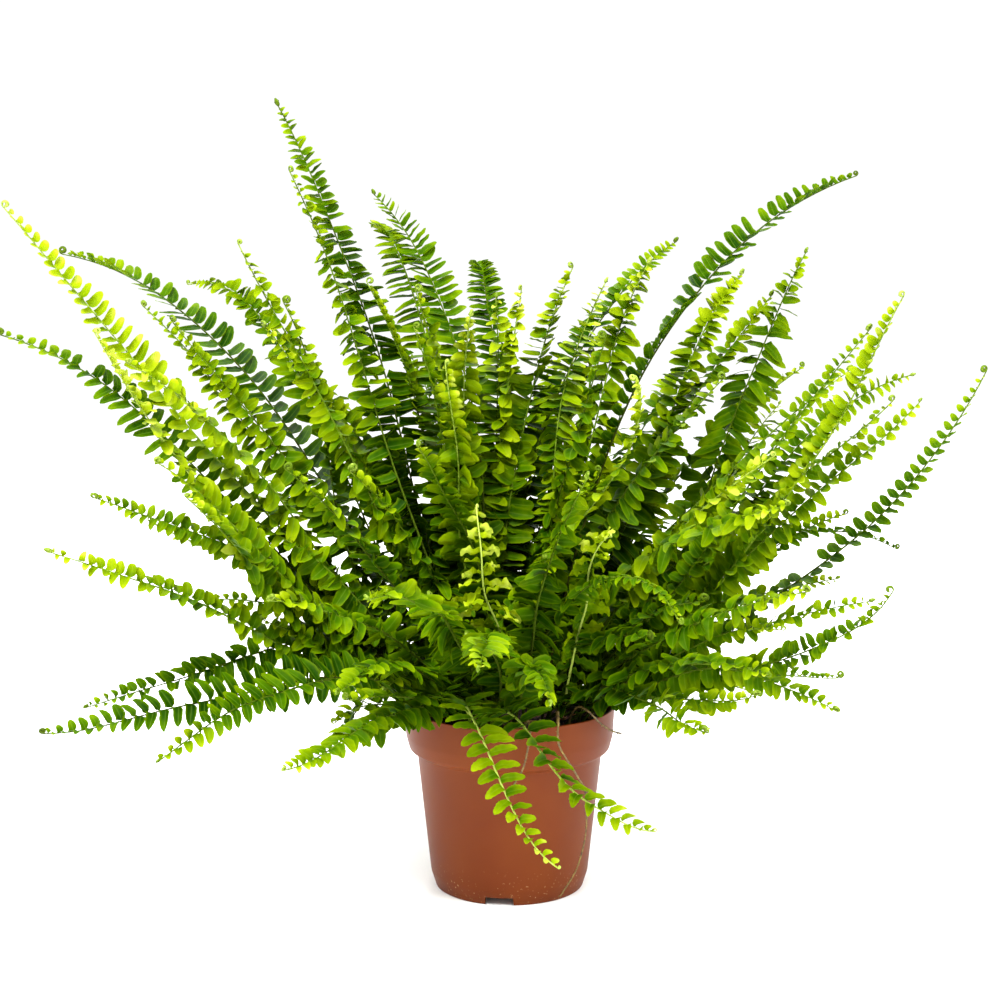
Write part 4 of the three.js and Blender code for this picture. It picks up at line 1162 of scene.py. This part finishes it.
class FERN_OT_pot(bpy.types.Operator):
    """Builds the moulded pot with its collar, notched foot and drain holes"""

    bl_idname = "fern.pot"
    bl_label = "Pot"

    def execute(self, context):
        settings = context.scene.fern_pot
        floor_top = FLOOR_UNDERSIDE + WALL
        profile = [
            [0, FLOOR_UNDERSIDE],
            [FOOT_RADIUS - FOOT_WIDTH, FLOOR_UNDERSIDE],
            [FOOT_RADIUS - FOOT_WIDTH, 0],
            [FOOT_RADIUS, 0],
            [WAIST_RADIUS, FOOT_TOP],
            [SHOULDER_RADIUS, COLLAR_BOTTOM],
            [RIM_RADIUS - 3, COLLAR_BOTTOM + 2.5],
            [RIM_RADIUS - 1, COLLAR_BOTTOM + 10],
            [RIM_RADIUS, POT_HEIGHT],
            [RIM_RADIUS - WALL, POT_HEIGHT],
            [RIM_RADIUS - 1 - WALL, COLLAR_BOTTOM + 10],
            [SHOULDER_RADIUS - WALL, COLLAR_BOTTOM],
            [WAIST_RADIUS - WALL, FOOT_TOP],
            [FOOT_RADIUS - WALL, floor_top],
            [0, floor_top],
        ]
        patches = Patches()
        patches.add(*turned(filleted(profile, in_mm(settings.edge_radius), EDGE_STEPS), POT_SIDES))
        piece = patches.piece("pot_moulded", [pot_material(settings)])
        notch = (NOTCH_DEPTH, NOTCH_WIDTH, 2 * FLOOR_UNDERSIDE)
        cutters = [self.cutter("notch", azimuth, FOOT_RADIUS, notch) for azimuth in NOTCH_AZIMUTHS]
        for i in range(DRAIN_HOLES):
            cutters.append(self.cutter("drain", 360 / DRAIN_HOLES * i, DRAIN_CIRCLE, None))
        cut(piece, cutters)
        piece.data.shade_smooth()
        piece.data.set_sharp_from_angle(angle=math.radians(SHARPEST_SMOOTH))
        rooted(piece, "pot", "pot")
        return {"FINISHED"}

    def cutter(self, name, azimuth, radius, size):
        """A box of that size, or a drain's rod, across the foot at an azimuth and radius."""
        shape = bmesh.new()
        if size:
            bmesh.ops.create_cube(shape, size=1.0)
            bmesh.ops.scale(shape, vec=[s * MM for s in size], verts=shape.verts)
            corners = [e for e in shape.edges if all(v.co.z > 0 for v in e.verts)]
            bmesh.ops.bevel(shape, geom=corners, offset=0.8 * MM, segments=3, profile=0.5, affect="EDGES")
        else:
            across = DRAIN_RADIUS * MM
            bmesh.ops.create_cone(
                shape, cap_ends=True, segments=32, radius1=across, radius2=across, depth=20 * MM
            )
        place = around_z(radius, azimuth, 0) * MM
        turn = Matrix.Rotation(math.radians(azimuth), 3, "Z")
        bmesh.ops.rotate(shape, cent=(0, 0, 0), verts=shape.verts, matrix=turn)
        bmesh.ops.translate(shape, vec=place, verts=shape.verts)
        mesh = bpy.data.meshes.new(name)
        shape.to_mesh(mesh)
        shape.free()
        made = bpy.data.objects.new(name, mesh)
        bpy.context.scene.collection.objects.link(made)
        return made


class FERN_OT_soil(bpy.types.Operator):
    """Builds the crumbly peat in the pot, and the dead bits that lie on it"""

    bl_idname = "fern.soil"
    bl_label = "Soil"

    def execute(self, context):
        settings = context.scene.fern_soil
        gap = WALL + FIT_GAP
        under = [
            [0, FLOOR_UNDERSIDE + gap],
            [FOOT_RADIUS - gap - 0.4, FLOOR_UNDERSIDE + gap],
            [WAIST_RADIUS - gap, FOOT_TOP + 0.2],
            [SHOULDER_RADIUS - gap, COLLAR_BOTTOM + 0.2],
            [RIM_RADIUS - 1 - gap, COLLAR_BOTTOM + 10.2],
        ]
        edge = RIM_RADIUS - 0.5 - gap
        radii = np.linspace(edge, 0, SOIL_RINGS)
        top = np.stack([radii, SOIL_EDGE + (SOIL_CROWN - SOIL_EDGE) * (1 - (radii / edge) ** 2)], axis=1)
        points, faces = turned(np.vstack([under, top]), SOIL_SIDES)
        on_top = points[:, 2] > SOIL_EDGE - 0.01
        flat = points[on_top] * [1, 1, 0]
        hills, lumps, grains = (waves(flat, size, 24, seed) for seed, size in enumerate(LUMP_SIZES, 1))
        bumps = 1.1 * hills + 1.2 * np.abs(lumps) + 0.5 * np.abs(grains)
        points[on_top, 2] += bumps * np.clip((edge - np.hypot(*flat[:, :2].T)) / 2, 0, 1)
        patches = Patches()
        patches.add(points, faces)
        self.crumbs(patches, settings.crumbs, edge - 2, np.random.default_rng(11))
        rooted(patches.piece("soil_peat", [peat_material(settings)]), "soil", "soil")
        patches = Patches()
        self.litter(patches, settings.litter, edge - 9, np.random.default_rng(12))
        rooted(patches.piece("soil_litter", [litter_material(settings)]), "soil")
        return {"FINISHED"}

    def litter(self, patches, count, edge, rng):
        """Adds dead leaflets and bits of stalk that lie on the peat: tubes as wide as the sine of the share
        along them. Leaflets are squashed flat, and each bit's far end curls up as the share squared."""
        share = np.linspace(0, 1, 8)
        for number in range(count):
            leaf = number % 3 > 0
            length = rng.uniform(5, 9) if leaf else rng.uniform(8, 16)
            width = rng.uniform(1.2, 2.2) if leaf else rng.uniform(0.35, 0.6)
            middle = around_z(edge * math.sqrt(rng.uniform(0, 1)), rng.uniform(0, 360), SOIL_EDGE + 3)
            heading = around_z(1, rng.uniform(0, 360), 0)
            path = np.outer((share - 0.5) * length, heading)
            radii = width * (0.1 + np.sin(math.pi * (0.05 + 0.9 * share)))
            points, faces = tube(path, radii, np.tile([0.0, 0.0, 1.0], (len(path), 1)), 8)
            if leaf:
                points[:, 2] *= DEAD_LEAF_FLATNESS
            points[:, 2] += rng.uniform(0.5, 3) * np.clip(points @ heading / length + 0.5, 0, 1) ** 2
            patches.add(points + middle, faces, tone=rng.uniform(0, 1))

    def crumbs(self, patches, count, edge, rng):
        """Adds loose crumbs: balls of random size, each squashed and pushed in and out by waves."""
        radius = edge * np.sqrt(rng.uniform(0, 1, count))
        turn = rng.uniform(0, 2 * math.pi, count)
        size = rng.uniform(*CRUMB_SIZES, count)
        height = SOIL_EDGE + 1.5 + 0.4 * size
        centre = np.stack([radius * np.cos(turn), radius * np.sin(turn), height], axis=1)
        down = np.linspace(0, math.pi, 6)
        profile = np.stack([np.sin(down), -np.cos(down)], axis=1)
        ball, faces = turned(profile, 8)
        stretch = rng.uniform(0.6, 1.3, (count, 3)) * size[:, None]
        points = centre[:, None] + ball[None] * stretch[:, None]
        flat = points.reshape(-1, 3)
        flat += unit(np.tile(ball, (count, 1))) * 0.3 * waves(flat, 2.0, 16, 5)[:, None]
        patches.add_copies(flat.reshape(points.shape), faces)


class FERN_OT_runners(bpy.types.Operator):
    """Builds the wiry runners that hang over the rim, with their short hairs"""

    bl_idname = "fern.runners"
    bl_label = "Runners"

    def execute(self, context):
        settings = context.scene.fern_soil
        material = runner_material(settings)
        for number, (name, route) in enumerate(RUNNERS.items()):
            rng = np.random.default_rng([21, number])
            path = catmull_rom([[*route[0][:2], SOIL_CROWN - STEM_DEPTH], *route], 9)
            share = np.linspace(0, 1, len(path))
            radii = 0.52 * RUNNER_WIDTH * (1 - 0.4 * share) * (1 + 0.15 * np.sin(60 * share))
            patches = Patches()
            across = np.tile([1.0, 0.3, 0.2], (len(path), 1))
            patches.add(*tube(path, radii, across, 8))
            self.hairs(patches, path, in_mm(settings.hair_length), rng)
            rooted(patches.piece(name + "_wiry", [material]), "runner", name)
        return {"FINISHED"}

    def hairs(self, patches, path, longest, rng):
        """Adds hairs: thin three-sided spikes that stand out from the path in random directions."""
        count = 7 * len(path)
        base = path[rng.integers(6, len(path), count)]
        out = unit(rng.normal(size=(count, 3)))
        side = unit(np.cross(out, rng.normal(size=(count, 3))))
        other = np.cross(out, side)
        tips = base + out * rng.uniform(0.4 * longest, longest, count)[:, None]
        feet = [base + 0.16 * side, base - 0.08 * side + 0.14 * other, base - 0.08 * side - 0.14 * other]
        points = np.stack([*feet, tips], axis=1)
        patches.add_copies(points, [np.array([[0, 1, 3], [1, 2, 3], [2, 0, 3], [0, 2, 1]])])


class FERN_OT_stage(bpy.types.Operator):
    """Sets the camera, a wide pale floor and soft light"""

    bl_idname = "fern.stage"
    bl_label = "Stage"

    def execute(self, context):
        settings = context.scene.fern_stage
        lens = bpy.data.cameras.new("camera")
        lens.sensor_width, lens.lens = 36.0, settings.camera_lens
        lens.clip_start, lens.clip_end = 0.01, 20.0
        camera = bpy.data.objects.new("camera", lens)
        camera.location = settings.camera_place
        camera.rotation_euler = (math.pi / 2 - settings.camera_pitch, 0, 0)
        context.scene.collection.objects.link(camera)
        context.scene.camera = camera
        patches = Patches()
        patches.add(*turned(np.array([[0, -20], [8000, -20], [8000, 0], [0, 0]]), 64))
        floor = patches.piece("floor", [floor_material(settings)])
        floor.data.shade_flat()
        world = bpy.data.worlds.new("studio")
        world.use_nodes = True
        background = world.node_tree.nodes["Background"]
        background.inputs["Color"].default_value = (1, 1, 1, 1)
        background.inputs["Strength"].default_value = settings.sky_strength
        context.scene.world = world
        for name, place, size, share in LIGHTS:
            self.light(name, place, size, share * settings.key_power)
        context.scene.view_settings.view_transform = "Standard"
        return {"FINISHED"}

    def light(self, name, place, size, power):
        """A square light that looks at the middle of the plant."""
        lamp = bpy.data.lights.new(name, "AREA")
        lamp.size, lamp.energy = size, power
        made = bpy.data.objects.new(name, lamp)
        made.location = place
        aim = Vector(LIGHTS_AIM) - Vector(place)
        made.rotation_euler = aim.to_track_quat("-Z", "Y").to_euler()
        bpy.context.scene.collection.objects.link(made)


STEPS = (FERN_OT_fronds, FERN_OT_pot, FERN_OT_soil, FERN_OT_runners, FERN_OT_stage)
SETTINGS = {
    "fern_fronds": FrondSettings,
    "fern_pot": PotSettings,
    "fern_soil": SoilSettings,
    "fern_stage": StageSettings,
}


class FERN_PT_panel(bpy.types.Panel):
    """The fern's settings and steps, in the 3D view's sidebar"""

    bl_idname = "FERN_PT_panel"
    bl_label = "Potted fern"
    bl_space_type = "VIEW_3D"
    bl_region_type = "UI"
    bl_category = "Fern"

    def draw(self, context):
        for group, kind in SETTINGS.items():
            for name in kind.__annotations__:
                self.layout.prop(getattr(context.scene, group), name)
        for step in STEPS:
            self.layout.operator(step.bl_idname)


CLASSES = (*SETTINGS.values(), *STEPS, FERN_PT_panel)


def register():
    """Makes the settings, steps and panel known to Blender."""
    for made in CLASSES:
        bpy.utils.register_class(made)
    for group, kind in SETTINGS.items():
        setattr(bpy.types.Scene, group, PointerProperty(type=kind))


def unregister():
    """Takes them out again."""
    for group in SETTINGS:
        delattr(bpy.types.Scene, group)
    for made in reversed(CLASSES):
        bpy.utils.unregister_class(made)


def main():
    """Builds the plant and the stage."""
    register()
    bpy.ops.fern.fronds()
    bpy.ops.fern.pot()
    bpy.ops.fern.soil()
    bpy.ops.fern.runners()
    bpy.ops.fern.stage()


if __name__ == "__main__":
    main()
